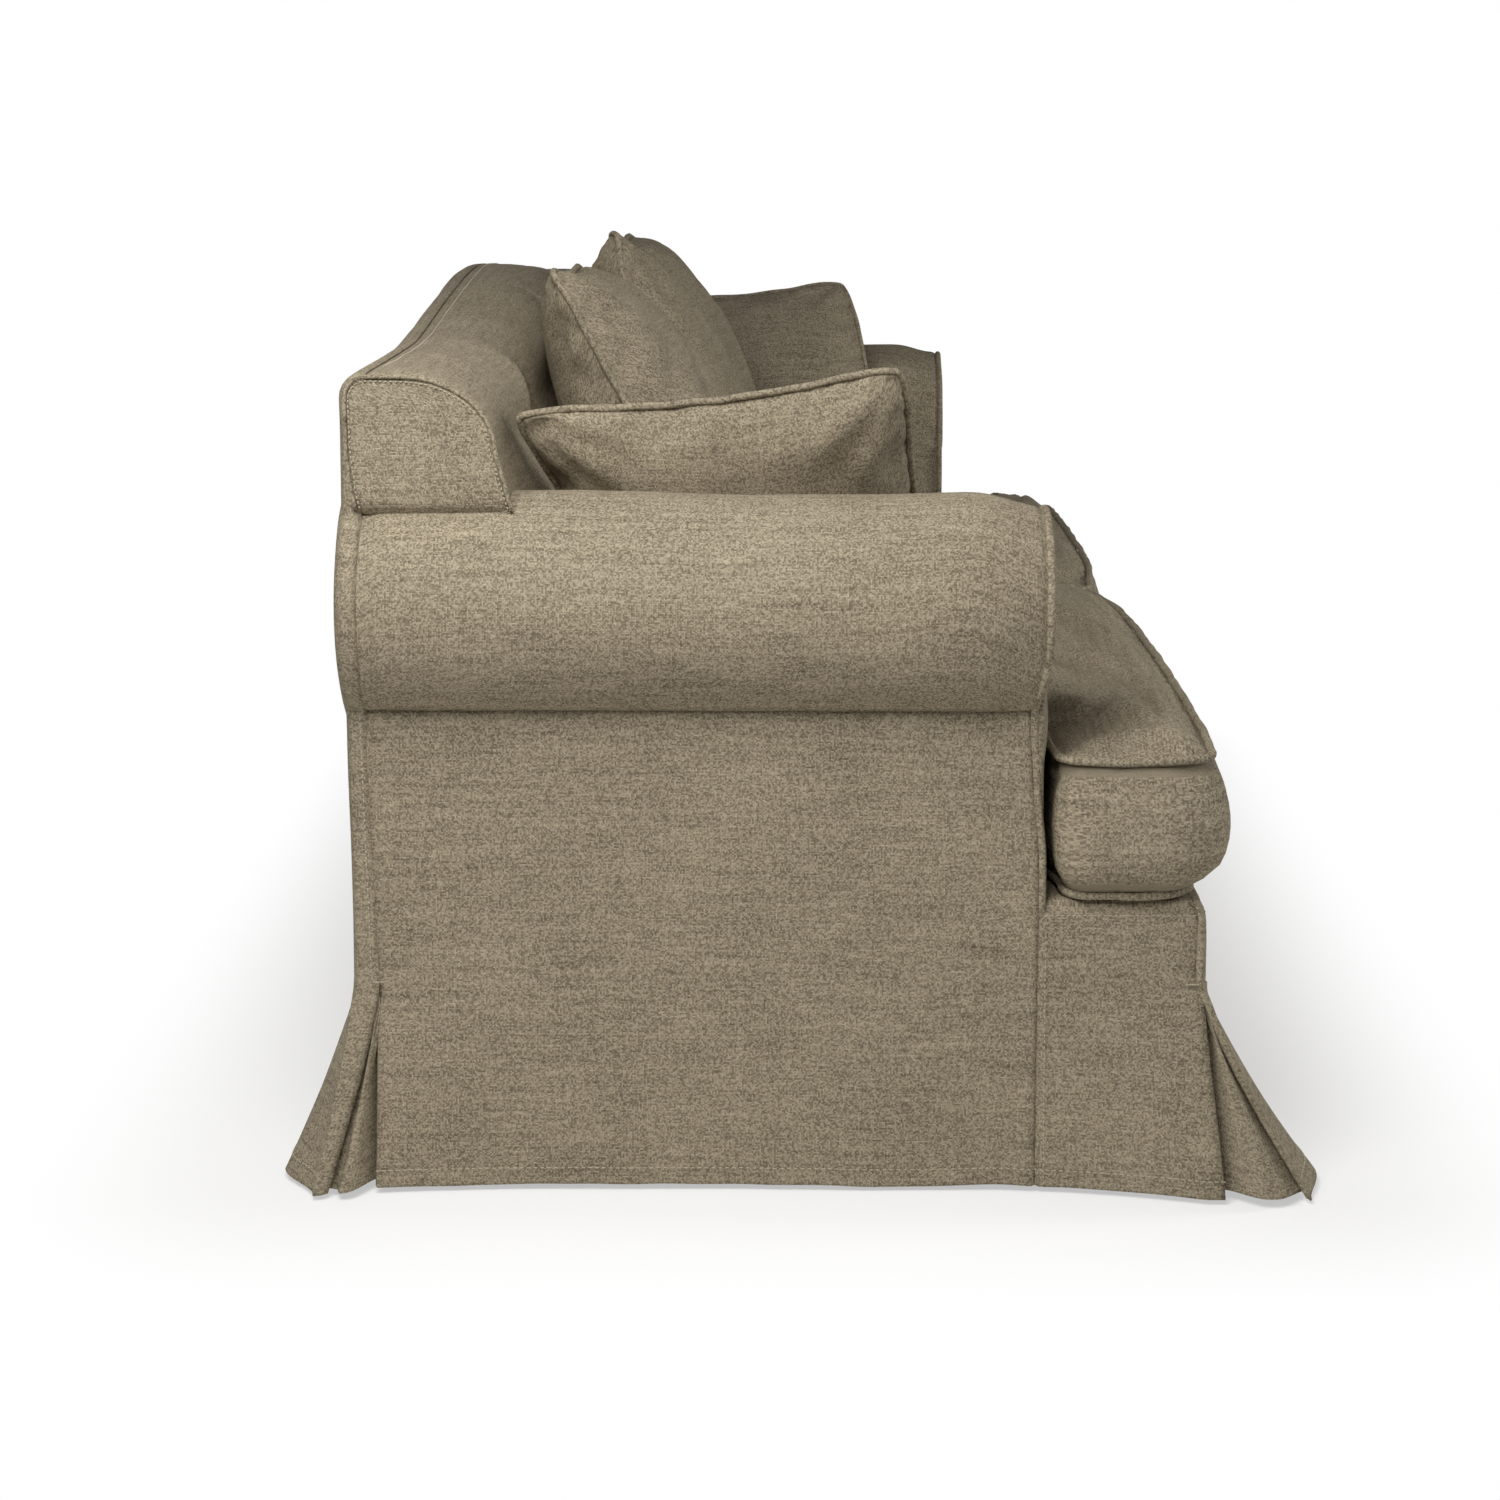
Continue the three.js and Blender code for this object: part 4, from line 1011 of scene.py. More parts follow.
for side, seed in (("right", 21.0), ("left", 25.0)):
    grid = relaxed(boxing_grid(), ((80, 1.2), (36, 0.5)), seed)
    sign = 1 if side == "right" else -1
    if side == "left":
        grid = mirrored(grid)
    boxing = cloth_sheet("back_boxing_" + side, grid, cover_linen, CLOTH)
    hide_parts("back_end_boxing_" + side)
    declare_sheet(boxing, grid)
    outline = np.array([(sign * (PANEL_X + 0.4), y, z) for y, z in boxing_outline()])
    piping("back_boxing_ridge_" + side, outline, 2.1, False, boxing, waver=0.5, seed=seed,
           gap=5.0, sides=8)
    # The stitches run beside the ridge, drawn in towards the boxing's middle
    middle = np.array((sign * PANEL_X, 350.0, 700.0))
    sewn = outline + unit(middle - outline) * 4.2
    sewn[:, 0] = sign * (PANEL_X + 1.9)
    stitches("back_boxing_stitches_" + side, sewn, (sign, 0, 0), boxing, 4.6, 3.0, 0.6, 0)
print("boxing cut from", cuts["back_boxing_right"])

# %% [markdown]
# The outside panels hang straight to the floor and open in a pleat at each corner. Above the
# pleat a panel's edge is sewn to its neighbour. Below it the cloth is turned back on itself, which
# gives the fold its soft rounded edge, and a hem is turned up along the bottom.

# %% Shapes of the hanging panels
FLARE_RUN = 210  # how far from a corner a side panel starts to flare
FOLD = 30  # how far a pleat's edge is turned back
FOLD_GAP = 5.5
SKIRT_ROWS = np.concatenate([steps(PLEAT_Z + 14, 40, 11), [31, 22, 14, 9, 6.5]])


def side_x(y, z):
    """How far out the side panel hangs."""
    to_front = 1 - min(1.0, max(0.0, (y - BASE_FRONT_Y) / FLARE_RUN))
    to_rear = 1 - min(1.0, max(0.0, (REAR_Y - y) / FLARE_RUN))
    flare = 8 + 38 * to_front**2 + 17 * to_rear**2
    return PANEL_X + flare * down_pleat(z) ** 1.15


def kick(share, full, shares):
    """How far the front or rear panel flares at the hem, from the middle (0) to an end (1)."""
    return 18 + (full - 18) * along([0, 0.14, 0.58, 1], shares, (1 - abs(share)) * PANEL_X / 500)


def long_point(way, share, z):
    """A point on the front (way -1) or rear (way 1) panel, at a share of its half width."""
    down = down_pleat(z)
    if way < 0:
        flare, base = kick(share, 115, [0.85, 1.0, 0.52, 0.0]), BASE_FRONT_Y
    else:
        flare, base = kick(share, 75, [0.36, 1.0, 0.6, 0.0]), REAR_Y
    y = base + way * flare * down**1.25
    return share * (PANEL_X + 43 * down**1.15), y


def front_pleat_edge(z):
    """Where the side's edge beside the front pleat lies along the sofa's depth."""
    return BASE_FRONT_Y + 2.9 - 22 * down_pleat(z)


def rear_pleat_edge(z):
    """Where the side's edge beside the rear pleat lies along the sofa's depth."""
    return strip_seam(z) - 0.6 + 4 * down_pleat(z)


def hem_rise(place, z, seed):
    """The hem isn't level: it dips and lifts a little, and less so further up."""
    wave = 2.2 * noise.noise(Vector((place / 150, seed, 0)))
    wave += 1.2 * noise.noise(Vector((place / 52, seed, 5)))
    return wave * (1 - smooth(8, 40, z))


def fold_back(edge, inward, behind):
    """Points round a folded edge and back behind the cloth."""
    turns = ((0.03, 0.28), (0.0, 0.62), (0.06, 0.92), (0.3, 1.0), (0.65, 1.0), (1, 1))
    return [edge + inward * FOLD * run + behind * FOLD_GAP * depth for run, depth in turns]


def tucked_in(edge, outward, forward_by):
    """Points of a seam's turning, laid just inside the cloth."""
    return [edge - outward * 0.9 * k + forward_by * 0.5 * k for k in range(1, 7)]


print("skirt rows:", len(SKIRT_ROWS))

# %% [markdown]
# The outside back wraps round the upright edges as a narrow strip before it meets the sides, so
# its outline follows the boxing, the roll and the side panel. Its upper edge goes over the rear
# edge of the back and follows the camel line.

# %% The outside back's edges


def back_half_width(z):
    """Half the outside back's width at a height: the panel, or the roll where it bulges."""
    if SEAM_Z < z < 2 * ROLL_Z - SEAM_Z:
        return ROLL_X + math.sqrt(ROLL_R**2 - (z - ROLL_Z) ** 2)
    return PANEL_X


def rear_fold(z):
    """The front edge of the rear flap: the strip's seam, led outwards down the pleat."""
    down = down_pleat(z)
    return PANEL_X + 40 * down**1.1, strip_seam(z) + 51 * down**1.2


def outside_back_side(point, beside, z_flat, turn, sign):
    """One end of a row: over the corner, along the strip or flap, and round its edge."""
    opened = smooth(0, 0.1, down_pleat(z_flat))
    facing = np.array((0, math.cos(turn), math.sin(turn)))
    seam = strip_seam(z_flat)
    width = max(3.0, point[1] - seam) if not turn else 3.5
    strip = []
    for share, out in ((0.22, 0.7), (0.45, 1.1), (0.68, 1.1), (0.86, 0.3), (1.0, -1.2)):
        strip.append(point + (sign * out, 0, 0) - facing * width * share)
    strip += tucked_in(strip[-1], np.array((sign, 0, 0)), -facing)
    fold_x, fold_y = rear_fold(z_flat)
    fold = np.array((sign * fold_x, fold_y, point[2]))
    flap = []
    for share in (0.2, 0.4, 0.6, 0.8, 1.0):
        belly = 1.8 * math.sin(math.pi * share)
        flap.append(point + (fold - point) * share + (sign * belly, belly * 0.3, 0))
    inward = unit(beside - fold)
    behind = np.cross(inward, (0, 0, 1)) * sign
    if behind[1] > 0:
        behind = -behind
    flap += fold_back(fold, inward, behind)
    return [a + (b - a) * opened for a, b in zip(strip, flap)]


print("half the outside back's width over the roll:", back_half_width(ROLL_Z))

# %% [markdown]
# The rows of the grid lie closer together where the outline turns, over the roll and at the top,
# and its columns where the ends flare. So a curve gets its points and a flat stretch needs few.

# %% The outside back
REAR_ROUND = REAR_Y - SEAM_Y  # radius over the back's upper rear edge
FLAT_TOP = END_TOP - REAR_ROUND


def outside_back_grid():
    """Rows go up from the hem, columns from the left edge to the right one."""
    body_rows = steps(PLEAT_Z + 22, SEAM_Z - 8, 14)
    roll_rows = ROLL_Z + ROLL_R * np.sin(np.linspace(ROLL_START, -ROLL_START, 22))
    top_rows = steps(652, FLAT_TOP, 11)
    heights = np.concatenate([SKIRT_ROWS[::-1], body_rows, roll_rows, top_rows])
    over = np.linspace(0, math.pi / 2, 7)[1:]
    shares = np.concatenate([np.linspace(0, 0.8, 44)[:-1], np.linspace(0.8, 1, 24) ** 0.8])
    shares = np.concatenate([-shares[:0:-1], shares])
    rows = []
    for n in range(len(heights) + len(over)):
        z_flat = heights[min(n, len(heights) - 1)]
        turn = over[n - len(heights)] if n >= len(heights) else 0.0
        opened = smooth(0, 0.1, down_pleat(z_flat))
        half = back_half_width(z_flat)
        row = []
        for share in shares:
            if z_flat <= PLEAT_Z + 20:
                x, y = long_point(1, share, z_flat)
            else:
                x, y = share * half, REAR_Y
            rise = smooth(640, FLAT_TOP, z_flat) * (camel_top(x) - camel_top(PANEL_X))
            z = z_flat + rise
            y -= REAR_ROUND * (1 - math.cos(turn))
            z += (REAR_ROUND - end_inset(min(abs(x), PANEL_X))) * math.sin(turn)
            z += hem_rise(x, z_flat, 3.0)
            # The edge rounds off towards the strip
            edge = (1 - abs(share)) * half
            from_roll = math.hypot(abs(x) - ROLL_X, z - ROLL_Z) / ROLL_R
            y += 9.0 * max(0.0, 1 - from_roll**2) ** 0.7
            y -= 4.0 * (1 - smooth(0, 13, edge)) * (1 - opened) * math.cos(turn)
            row.append(np.array((x, y, z)))
        left = outside_back_side(row[0], row[3], z_flat, turn, -1)
        right = outside_back_side(row[-1], row[-4], z_flat, turn, 1)
        rows.append(left[::-1] + row + right)
    return np.array(rows)


def outside_back_calm(p):
    """Noise fades out at the edges."""
    return smooth(0, 50, PANEL_X + 20 - abs(p[0])) * smooth(REAR_Y - 26, REAR_Y, p[1])


grid = outside_back_grid()
grid = relaxed(grid, ((320, 2.6), (130, 1.6), (60, 0.5)), 31.0, outside_back_calm, -1, -0.2, 1.6)
outside_back = cloth_sheet("outside_back_cloth", grid, cover_linen, CLOTH, way=-1)
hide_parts("outside_back_panel")
declare_sheet(outside_back, grid, hem=40)
print("outside back:", grid.shape[:2], "points, cut from", cuts["outside_back_cloth"])

# %% [markdown]
# The front panel closes the base under the cushions. The pad rounds its upper edge, and its two
# ends kick out further than the rear's, so the front pleats stand open.

# %% The front panel
FRONT_ROUND_Z = 262  # where the panel starts to round over the deck's edge
FRONT_ROUND = 18


def front_grid():
    """Rows go up from the hem, columns from the left edge to the right one."""
    body = np.concatenate([steps(PLEAT_Z + 22, FRONT_ROUND_Z, 10), [268, 273, 277, 279.8]])
    heights = np.concatenate([SKIRT_ROWS[::-1], body])
    shares = np.concatenate([np.linspace(0, 0.72, 40)[:-1], np.linspace(0.72, 1, 30)])
    shares = np.concatenate([-shares[:0:-1], shares])
    rows = []
    for z_flat in heights:
        down = down_pleat(z_flat)
        opened = smooth(0, 0.1, down)
        round_over = 9 * (1 - quarter_round(z_flat, FRONT_ROUND_Z, FRONT_ROUND))
        row = []
        for share in shares:
            x, y = long_point(-1, share, z_flat)
            z = z_flat + hem_rise(x, z_flat, 8.0)
            edge = (1 - abs(share)) * PANEL_X
            y += 4.5 * (1 - smooth(0, 14, edge)) * (1 - opened) + round_over
            row.append(np.array((x, y, z)))
        sides = []
        for point, beside, sign in ((row[0], row[3], -1), (row[-1], row[-4], 1)):
            strip = [point + (sign * out, back_by, 0) for back_by, out in
                     ((1, 0.2), (2, 0.1), (3, -0.3), (3.6, -1.2), (4, -2.4), (4.4, -3.6))]
            inward = unit(beside - point)
            behind = unit(np.cross(inward, (0, 0, 1)))
            if behind[1] < 0:
                behind = -behind
            folded = fold_back(point, inward, behind)
            sides.append([s + (f - s) * opened for s, f in zip(strip, folded)])
        rows.append(list(reversed(sides[0])) + row + sides[1])
    return np.array(rows)


def front_calm(p):
    """Noise fades out at the deck's edge and at both ends."""
    return smooth(282, 240, p[2]) * smooth(0, 40, PANEL_X + 45 - abs(p[0]))


grid = relaxed(front_grid(), ((260, 3.0), (120, 1.8), (50, 0.5)), 41.0, front_calm, 1, -0.2, 1.5)
front_panel = cloth_sheet("front_cloth", grid, cover_linen, CLOTH, way=1)
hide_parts("front_panel")
declare_sheet(front_panel, grid, hem=40)
print("front panel cut from", cuts["front_cloth"])

# %% [markdown]
# Each side is two panels. The long one runs from the roll's seam to the hem, and the short one
# continues it under the cushion's ear. They meet in the upright seam below the facing.

# %% The side panels


def side_edges(way, z):
    """Where a row of a side panel begins, at the upright seam, and where it ends."""
    if way > 0:
        return SIDE_SEAM_Y + front_edge(z), rear_pleat_edge(z)
    return SIDE_SEAM_Y, front_pleat_edge(z) + (4.5 if z > PLEAT_Z else 1)


def side_grid(way):
    """The right side's long panel (way 1) or its short front one (way -1), bottom row first."""
    if way > 0:
        body = np.concatenate([steps(PLEAT_Z + 22, 440, 14), [449, 456, 461, 464, 466.5, 472]])
        shares = np.concatenate([[0, 0.006, 0.014, 0.026], np.linspace(0.04, 0.85, 44),
                                 np.linspace(0.865, 1, 12)])
    else:
        body = np.concatenate([steps(PLEAT_Z + 22, 258, 10), [264, 269, 273, 276, 279.5]])
        shares = np.concatenate([[0, 0.02, 0.045, 0.08], np.linspace(0.13, 1, 20)])
    heights = np.concatenate([SKIRT_ROWS[::-1], body])
    rows = []
    for z_flat in heights:
        opened = smooth(0, 0.1, down_pleat(z_flat))
        first, last = side_edges(way, z_flat)
        row = []
        for share in shares:
            y = first + (last - first) * share
            z = z_flat + hem_rise(y, z_flat, 15.0)
            x = side_x(y, z_flat)
            # The edge in the upright seam turns in
            from_seam = abs(y - first)
            x += 1.6 * (1 - smooth(4, 26, from_seam)) - 2.4 * (1 - smooth(0, 3, from_seam))
            x -= 2.2 * (1 - smooth(0, 9, abs(y - last))) * (1 - opened)
            if way > 0:
                x -= 3.5 * smooth(456, 465.5, z_flat) + 5 * smooth(465, 472, z_flat)
            else:
                x -= 10 * (1 - quarter_round(z_flat, 258, 22))
            row.append(np.array((x, y, z)))
        inward = unit(row[-2] - row[-1])
        behind = np.array((-1.0, 0.0, 0.0))
        tucked = tucked_in(row[-1], np.array((1.0, 0, 0)), np.array((0, way * 0.2, 0)))
        folded = fold_back(row[-1], inward, behind)
        rows.append(row + [t + (f - t) * opened for t, f in zip(tucked, folded)])
    return np.array(rows)


def side_calm(p):
    """Noise is full over the skirt, weak above it, and fades out at the two upper seams."""
    hanging = 0.35 + 0.65 * smooth(250, 80, p[2])
    from_seam = abs(p[1] - SIDE_SEAM_Y - front_edge(p[2]))
    return hanging * smooth(0, 22, from_seam) * smooth(466, 430, p[2])


for side, seed in (("right", 51.0), ("left", 57.0)):
    for way, name, node, above in ((1, "side_cloth_", "side_panel_", "arm_body_" + side),
                                   (-1, "base_side_cloth_", "base_side_panel_", "deck_platform")):
        grid = relaxed(side_grid(way), ((240, 3.0), (110, 2.0), (48, 0.6)), seed, side_calm, way,
                       -0.2, 1.2)
        # A right-hand panel faces +X: the long one's columns run back, the short one's forward
        facing_way = way
        if side == "left":
            grid[..., 0] *= -1
            facing_way = -way
        made = cloth_sheet(name + side, grid, cover_linen, CLOTH, way=facing_way)
        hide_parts(node + side)
        declare_sheet(made, grid, hem=40)
print("long side panel cut from", cuts["side_cloth_right"])
print("short one cut from", cuts["base_side_cloth_right"])

# %% [markdown]
# A pleat is open because extra cloth, the gusset, is sewn behind both edges. It tucks in behind
# the side, dips into a dark crease, swells forward, dips again and tucks in behind the flap.

# %% Pleat gussets
GUSSET_COLUMNS = 36


def smooth_row(points, count):
    """A smooth curve through a few points."""
    p = np.array(points, float)
    p = np.concatenate([[2 * p[0] - p[1]], p, [2 * p[-1] - p[-2]]])
    out = []
    for t in np.linspace(0, len(points) - 1, count):
        i = min(int(t), len(points) - 2)
        u = t - i
        a, b, c, d = p[i:i + 4]
        out.append(0.5 * (2 * b + (c - a) * u + (2 * a - 5 * b + 4 * c - d) * u**2
                          + (3 * b - a - 3 * c + d) * u**3))
    return np.array(out)


def gusset_grid(way):
    """The right-hand gusset at the front (way -1) or the rear (way 1)."""
    rows = []
    for z in np.concatenate([[204, 199], SKIRT_ROWS[SKIRT_ROWS < 194]])[::-1]:
        down = down_pleat(z)
        side_y = front_pleat_edge(z) - 1 if way < 0 else rear_pleat_edge(z)
        side = np.array((side_x(side_y, z), side_y, z))
        if way < 0:
            flap = np.array((*long_point(way, 1, z), z))
        else:
            flap = np.array((*rear_fold(z), z))
        inward = unit(np.array((*long_point(way, 0.96, z), z)) - flap)
        behind = 3.6 + FOLD_GAP * smooth(0, 0.25, down)
        toward = unit(np.array((-1.0, -way * 1.0, 0)))
        chord = unit(flap - side)
        bulge = np.array((abs(chord[1]), way * abs(chord[0]), 0))
        bulge = bulge * (5 + 9 * down) * smooth(0, 0.4, down)
        points = [
            side + (-behind - 1, -way * 36, 0),
            side + (-behind - 4 * down, -way * 14, 0),
            side + (-behind - 9 * down, way * 0.5, 0),
            side * 0.62 + flap * 0.38 + toward * 2.5 + bulge * 0.8,
            side * 0.35 + flap * 0.65 + toward * 2.5 + bulge * 0.8,
            flap + toward * (behind + 5 * down),
            flap + inward * 16 + toward * (behind * 0.7),
            flap + inward * 36 + toward * (behind * 0.8),
        ]
        row = smooth_row(points, GUSSET_COLUMNS)
        row[:, 2] = z + 3 * down**3 + 1.5 * down * np.sin(np.linspace(0, 5, GUSSET_COLUMNS) + way)
        rows.append(row)
    return np.array(rows)


for side in ("right", "left"):
    for way, place in ((-1, "front"), (1, "rear")):
        grid = relaxed(gusset_grid(way), ((70, 1.2), (30, 0.5)), 61.0 + way)
        facing_way = way
        if side == "left":
            grid[..., 0] *= -1
            facing_way = -way
        name = "pleat_gusset_" + place + "_" + side
        made = cloth_sheet(name, grid, cover_linen, CLOTH, way=facing_way)
        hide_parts("corner_gusset_" + place + "_" + side)
        declare_sheet(made, grid, seam=5, hem=12)
print("front gusset cut from", cuts["pleat_gusset_front_right"])

# %% [markdown]
# The panels are finished with rows of stitches: along the hem, beside the strip and the upright
# seam, along the camel line and round the deck's edge. Each row follows a line of its panel's own
# grid, so it lies on the cloth. A short bar tack holds each pleat's top.

# %% Hems, topstitching and tacks


def grid_stitches(cloth, label, line, pitch=6.5, length=4.2, radius=0.6, lift=0.1):
    """Sews along a row or a column of a cloth's grid."""
    piece, grid, way = cloths[cloth]
    facing = way * grid_normals(grid)
    stitches(cloth + "_" + label, grid[line], facing[line], piece, pitch, length, radius, lift)


def between(cloth, low, high):
    """The rows of a cloth's grid between two heights."""
    heights = cloths[cloth][1][:, 20, 2]
    inside = np.flatnonzero((heights > low) & (heights < high))
    return slice(int(inside[0]), int(inside[-1]) + 1)


grid_stitches("outside_back_cloth", "hem", (3, slice(5, -5)))
grid_stitches("front_cloth", "hem", (3, slice(5, -5)))
grid_stitches("front_cloth", "edge", (-4, slice(8, -8)), 5, 3.2, 0.5)
standing = between("outside_back_cloth", 212, 458)
grid_stitches("outside_back_cloth", "strip_left", (standing, 8), 6, 3.4, 0.65, 0.2)
grid_stitches("outside_back_cloth", "strip_right", (standing, -9), 6, 3.4, 0.65, 0.2)
for side in ("left", "right"):
    grid_stitches("side_cloth_" + side, "hem", (3, slice(0, -6)))
    grid_stitches("base_side_cloth_" + side, "hem", (3, slice(0, -6)))
    grid_stitches("base_side_cloth_" + side, "seam", (slice(1, -6), 2), 6, 3.4, 0.65, 0.2)
    grid_stitches("base_side_cloth_" + side, "edge", (-4, slice(1, -6)), 5, 3.2, 0.5)
    sign = 1 if side == "right" else -1
    for place, y in (("rear", strip_seam(205) - 5), ("front", BASE_FRONT_Y + 8)):
        tack = [(sign * (PANEL_X + 1.6), y + k * 3.2, 203) for k in range(4)]
        parent = cloths[("side_cloth_" if place == "rear" else "base_side_cloth_") + side][0]
        stitches("pleat_tack_" + place + "_" + side, tack, (sign, 0, 0), parent, 2.2, 2.0, 0.9, 0.4)
grid_stitches("inside_back_body", "camel", (2, slice(9, -9)), 6, 3.6, 0.55)
sewn_rows = [o for o in bpy.data.objects if o.type == "MESH" and thread in o.data.materials[:]]
print("rows of stitches:", len(sewn_rows))

# %% [markdown]
# The deck is a thin pad under platform cloth. Its front border, which shows under the cushions,
# is cut from the cover's own linen.

# %% The deck
DECK_PAD_LOW = 260.5
SOFT_EDGE = 5  # how far the pad's rounded edge stands out
BORDER_Y = -215  # where the linen border meets the platform cloth


def slab(name, rows, low, high, materials, slot_of):
    """A flat pad with softly rounded edges, from rows of columns at two heights."""
    top = np.array(rows, float)
    count_r, count_c = top.shape[:2]
    each = count_r * count_c
    rim = rim_of(count_r, count_c)
    drop = (high - low) / 2
    points = [(x, y, high) for x, y in top.reshape(-1, 2)]
    points += [(x, y, low) for x, y in top.reshape(-1, 2)]
    inner = [(min(max(i, 1), count_r - 2), min(max(j, 1), count_c - 2)) for i, j in rim]
    out = unit(np.array([top[a] - top[b] for a, b in zip(rim, inner)]))
    bands = []
    for angle in (60, 30, 0, -30, -60):
        c, s = math.cos(math.radians(angle)), math.sin(math.radians(angle))
        z = low + drop + s * drop
        bands.append([(*(top[a] + o * (c * SOFT_EDGE)), z) for a, o in zip(rim, out)])
    for band in bands:
        points += band
    faces, slots = [], []
    for i in range(count_r - 1):
        for j in range(count_c - 1):
            a = i * count_c + j
            faces.append((a, a + 1, a + count_c + 1, a + count_c))
            faces.append(tuple(each + k for k in (a + count_c, a + count_c + 1, a + 1, a)))
            slots += [slot_of(top[i, j])] * 2
    loops = [[i * count_c + j for i, j in rim]]
    for k in range(len(bands)):
        loops.append([2 * each + k * len(rim) + n for n in range(len(rim))])
    loops.append([each + i * count_c + j for i, j in rim])
    for k in range(len(loops) - 1):
        for n in range(len(rim)):
            m = (n + 1) % len(rim)
            faces.append((loops[k][n], loops[k][m], loops[k + 1][m], loops[k + 1][n]))
            slots.append(slot_of(points[loops[0][n]]))
    uvs = [(p[0] * MM, p[1] * MM) for p in points]
    return new_piece(name, points, faces, uvs, materials, "sofa", face_slots=slots)


def deck_rows():
    """Rows from the front edge back; in front of the arms they are wider."""
    rows = []
    for y in np.concatenate([steps(BASE_FRONT_Y + 8, ARM_FRONT_Y - 4, 14), [ARM_FRONT_Y + 1]]):
        rows.append([(x, y) for x in np.linspace(-PANEL_X + 9, PANEL_X - 9, 90)])
    for y in np.concatenate([[ARM_FRONT_Y + 4], steps(ARM_FRONT_Y + 16, 366, 22)]):
        rows.append([(x, y) for x in np.linspace(-INNER_X - 18, INNER_X + 18, 90)])
    return rows


def deck_cloth(place):
    """Number of the deck's material at a place: 0 for the platform cloth, 1 for the linen."""
    return 1 if place[1] < BORDER_Y else 0


deck = slab("deck_platform", deck_rows(), DECK_PAD_LOW, DECK_Z, [platform_cloth, cover_linen],
            deck_cloth)
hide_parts("deck_cover", "deck_pad")
print("deck:", len(deck.data.polygons), "faces")

# %% [markdown]
# Cushions and pillows are filled bags. Each starts as a closed grid in the shape of its CAD solid,
# with its seams held still. Cloth simulation with pressure inside, and slightly too much cloth,
# then lets the covers swell and pucker as real ones do. How far a point may move is capped, so
# that nothing grows into its neighbours.

# %% Filling a bag by simulation


def inflate(piece, held, pressure, frames, spare, cap, bending=0.4):
    """Swells a closed mesh with cloth simulation and keeps the result in its points."""
    mesh = piece.data
    count = len(mesh.vertices)
    start = np.empty(count * 3)
    mesh.vertices.foreach_get("co", start)
    start = start.reshape(-1, 3)
    group = piece.vertex_groups.new(name="held_seams")
    for index, weight in held.items():
        group.add([index], weight, "REPLACE")
    bag = piece.modifiers.new("filling", "CLOTH")
    settings = bag.settings
    settings.quality = 5
    settings.mass = 0.25
    settings.tension_stiffness = 12
    settings.compression_stiffness = 4
    settings.shear_stiffness = 4
    settings.bending_stiffness = bending
    settings.use_pressure = True
    settings.uniform_pressure_force = pressure
    settings.shrink_min = -spare
    settings.vertex_group_mass = group.name
    settings.effector_weights.gravity = 0
    bag.collision_settings.use_collision = False
    bag.point_cache.frame_start = 1
    bag.point_cache.frame_end = frames
    scene = bpy.context.scene
    for number in range(1, frames + 1):
        scene.frame_set(number)
    swollen = piece.evaluated_get(bpy.context.evaluated_depsgraph_get()).to_mesh()
    after = np.empty(count * 3)
    swollen.vertices.foreach_get("co", after)
    after = after.reshape(-1, 3)
    piece.evaluated_get(bpy.context.evaluated_depsgraph_get()).to_mesh_clear()
    piece.modifiers.remove(bag)
    piece.vertex_groups.remove(group)
    scene.frame_set(1)
    moved = after - start
    length = np.linalg.norm(moved, axis=1, keepdims=True)
    limit = cap * MM
    eased = limit * np.tanh(length / limit)
    result = start + moved * (eased / np.maximum(length, 1e-9))
    mesh.vertices.foreach_set("co", result.ravel())
    mesh.update()
    print(piece.name, "moved up to", round(float(length.max()) / MM, 1), "mm, kept",
          round(float(eased.max()) / MM, 1))
    return result


print("simulations are", "run")

# %% [markdown]
# A seat cushion is T-shaped: in front of the arm it widens into an ear. Its top and bottom panels
# are laid out on one grid of squares, and the boxing is a band of squares between their edges.
# That keeps every seam on a line of the mesh.

# %% The T cushion's plan
SPLIT_X = 4.4
EAR_X = 1046.0
SEAT_X = 889.0
CUSHION_FRONT = -383.0
EAR_Y = -236.0
CUSHION_REAR = 167.0
TOP_SEAM = 414.0
LOW_SEAM = 290.0
SQUARE = 11.5
# Each corner that is rounded: its place, the ways into the cushion from it, and its radius
CUSHION_CORNERS = (
    (EAR_X, CUSHION_FRONT, -1, 1, 40),
    (SPLIT_X, CUSHION_FRONT, 1, 1, 34),
    (EAR_X, EAR_Y, -1, -1, 24),
    (SEAT_X, CUSHION_REAR, -1, -1, 26),
    (SPLIT_X, CUSHION_REAR, 1, -1, 20),
)


def rounded_corner(x, y, corner_x, corner_y, into_x, into_y, radius):
    """Moves points near a square corner onto a round one."""
    a = 1 - abs(x - corner_x) / radius
    b = 1 - abs(y - corner_y) / radius
    if a <= 0 or b <= 0:
        return x, y
    round_a = a * math.sqrt(1 - b * b / 2)
    round_b = b * math.sqrt(1 - a * a / 2)
    return corner_x + into_x * radius * (1 - round_a), corner_y + into_y * radius * (1 - round_b)


xs = np.concatenate([steps(SPLIT_X, SEAT_X, SQUARE), steps(SEAT_X, EAR_X, SQUARE)[1:]])
ys = np.concatenate([steps(CUSHION_FRONT, EAR_Y, 6.0), steps(EAR_Y, CUSHION_REAR, SQUARE)[1:]])
plan = {}
for i, y in enumerate(ys):
    for j, x in enumerate(xs):
        if y <= EAR_Y + 0.1 or x <= SEAT_X + 0.1:
            px, py = x, y
            for corner in CUSHION_CORNERS:
                px, py = rounded_corner(px, py, *corner)
            # The ear stands a little away from the arm's front at its outer corner
            py -= 8 * smooth(950, 1020, px) * (1 - smooth(0, 70, EAR_Y - py)) * (px > SEAT_X)
            plan[i, j] = (px, py)
cells = [(i, j) for i, j in plan
         if (i + 1, j) in plan and (i, j + 1) in plan and (i + 1, j + 1) in plan]
edges = {}
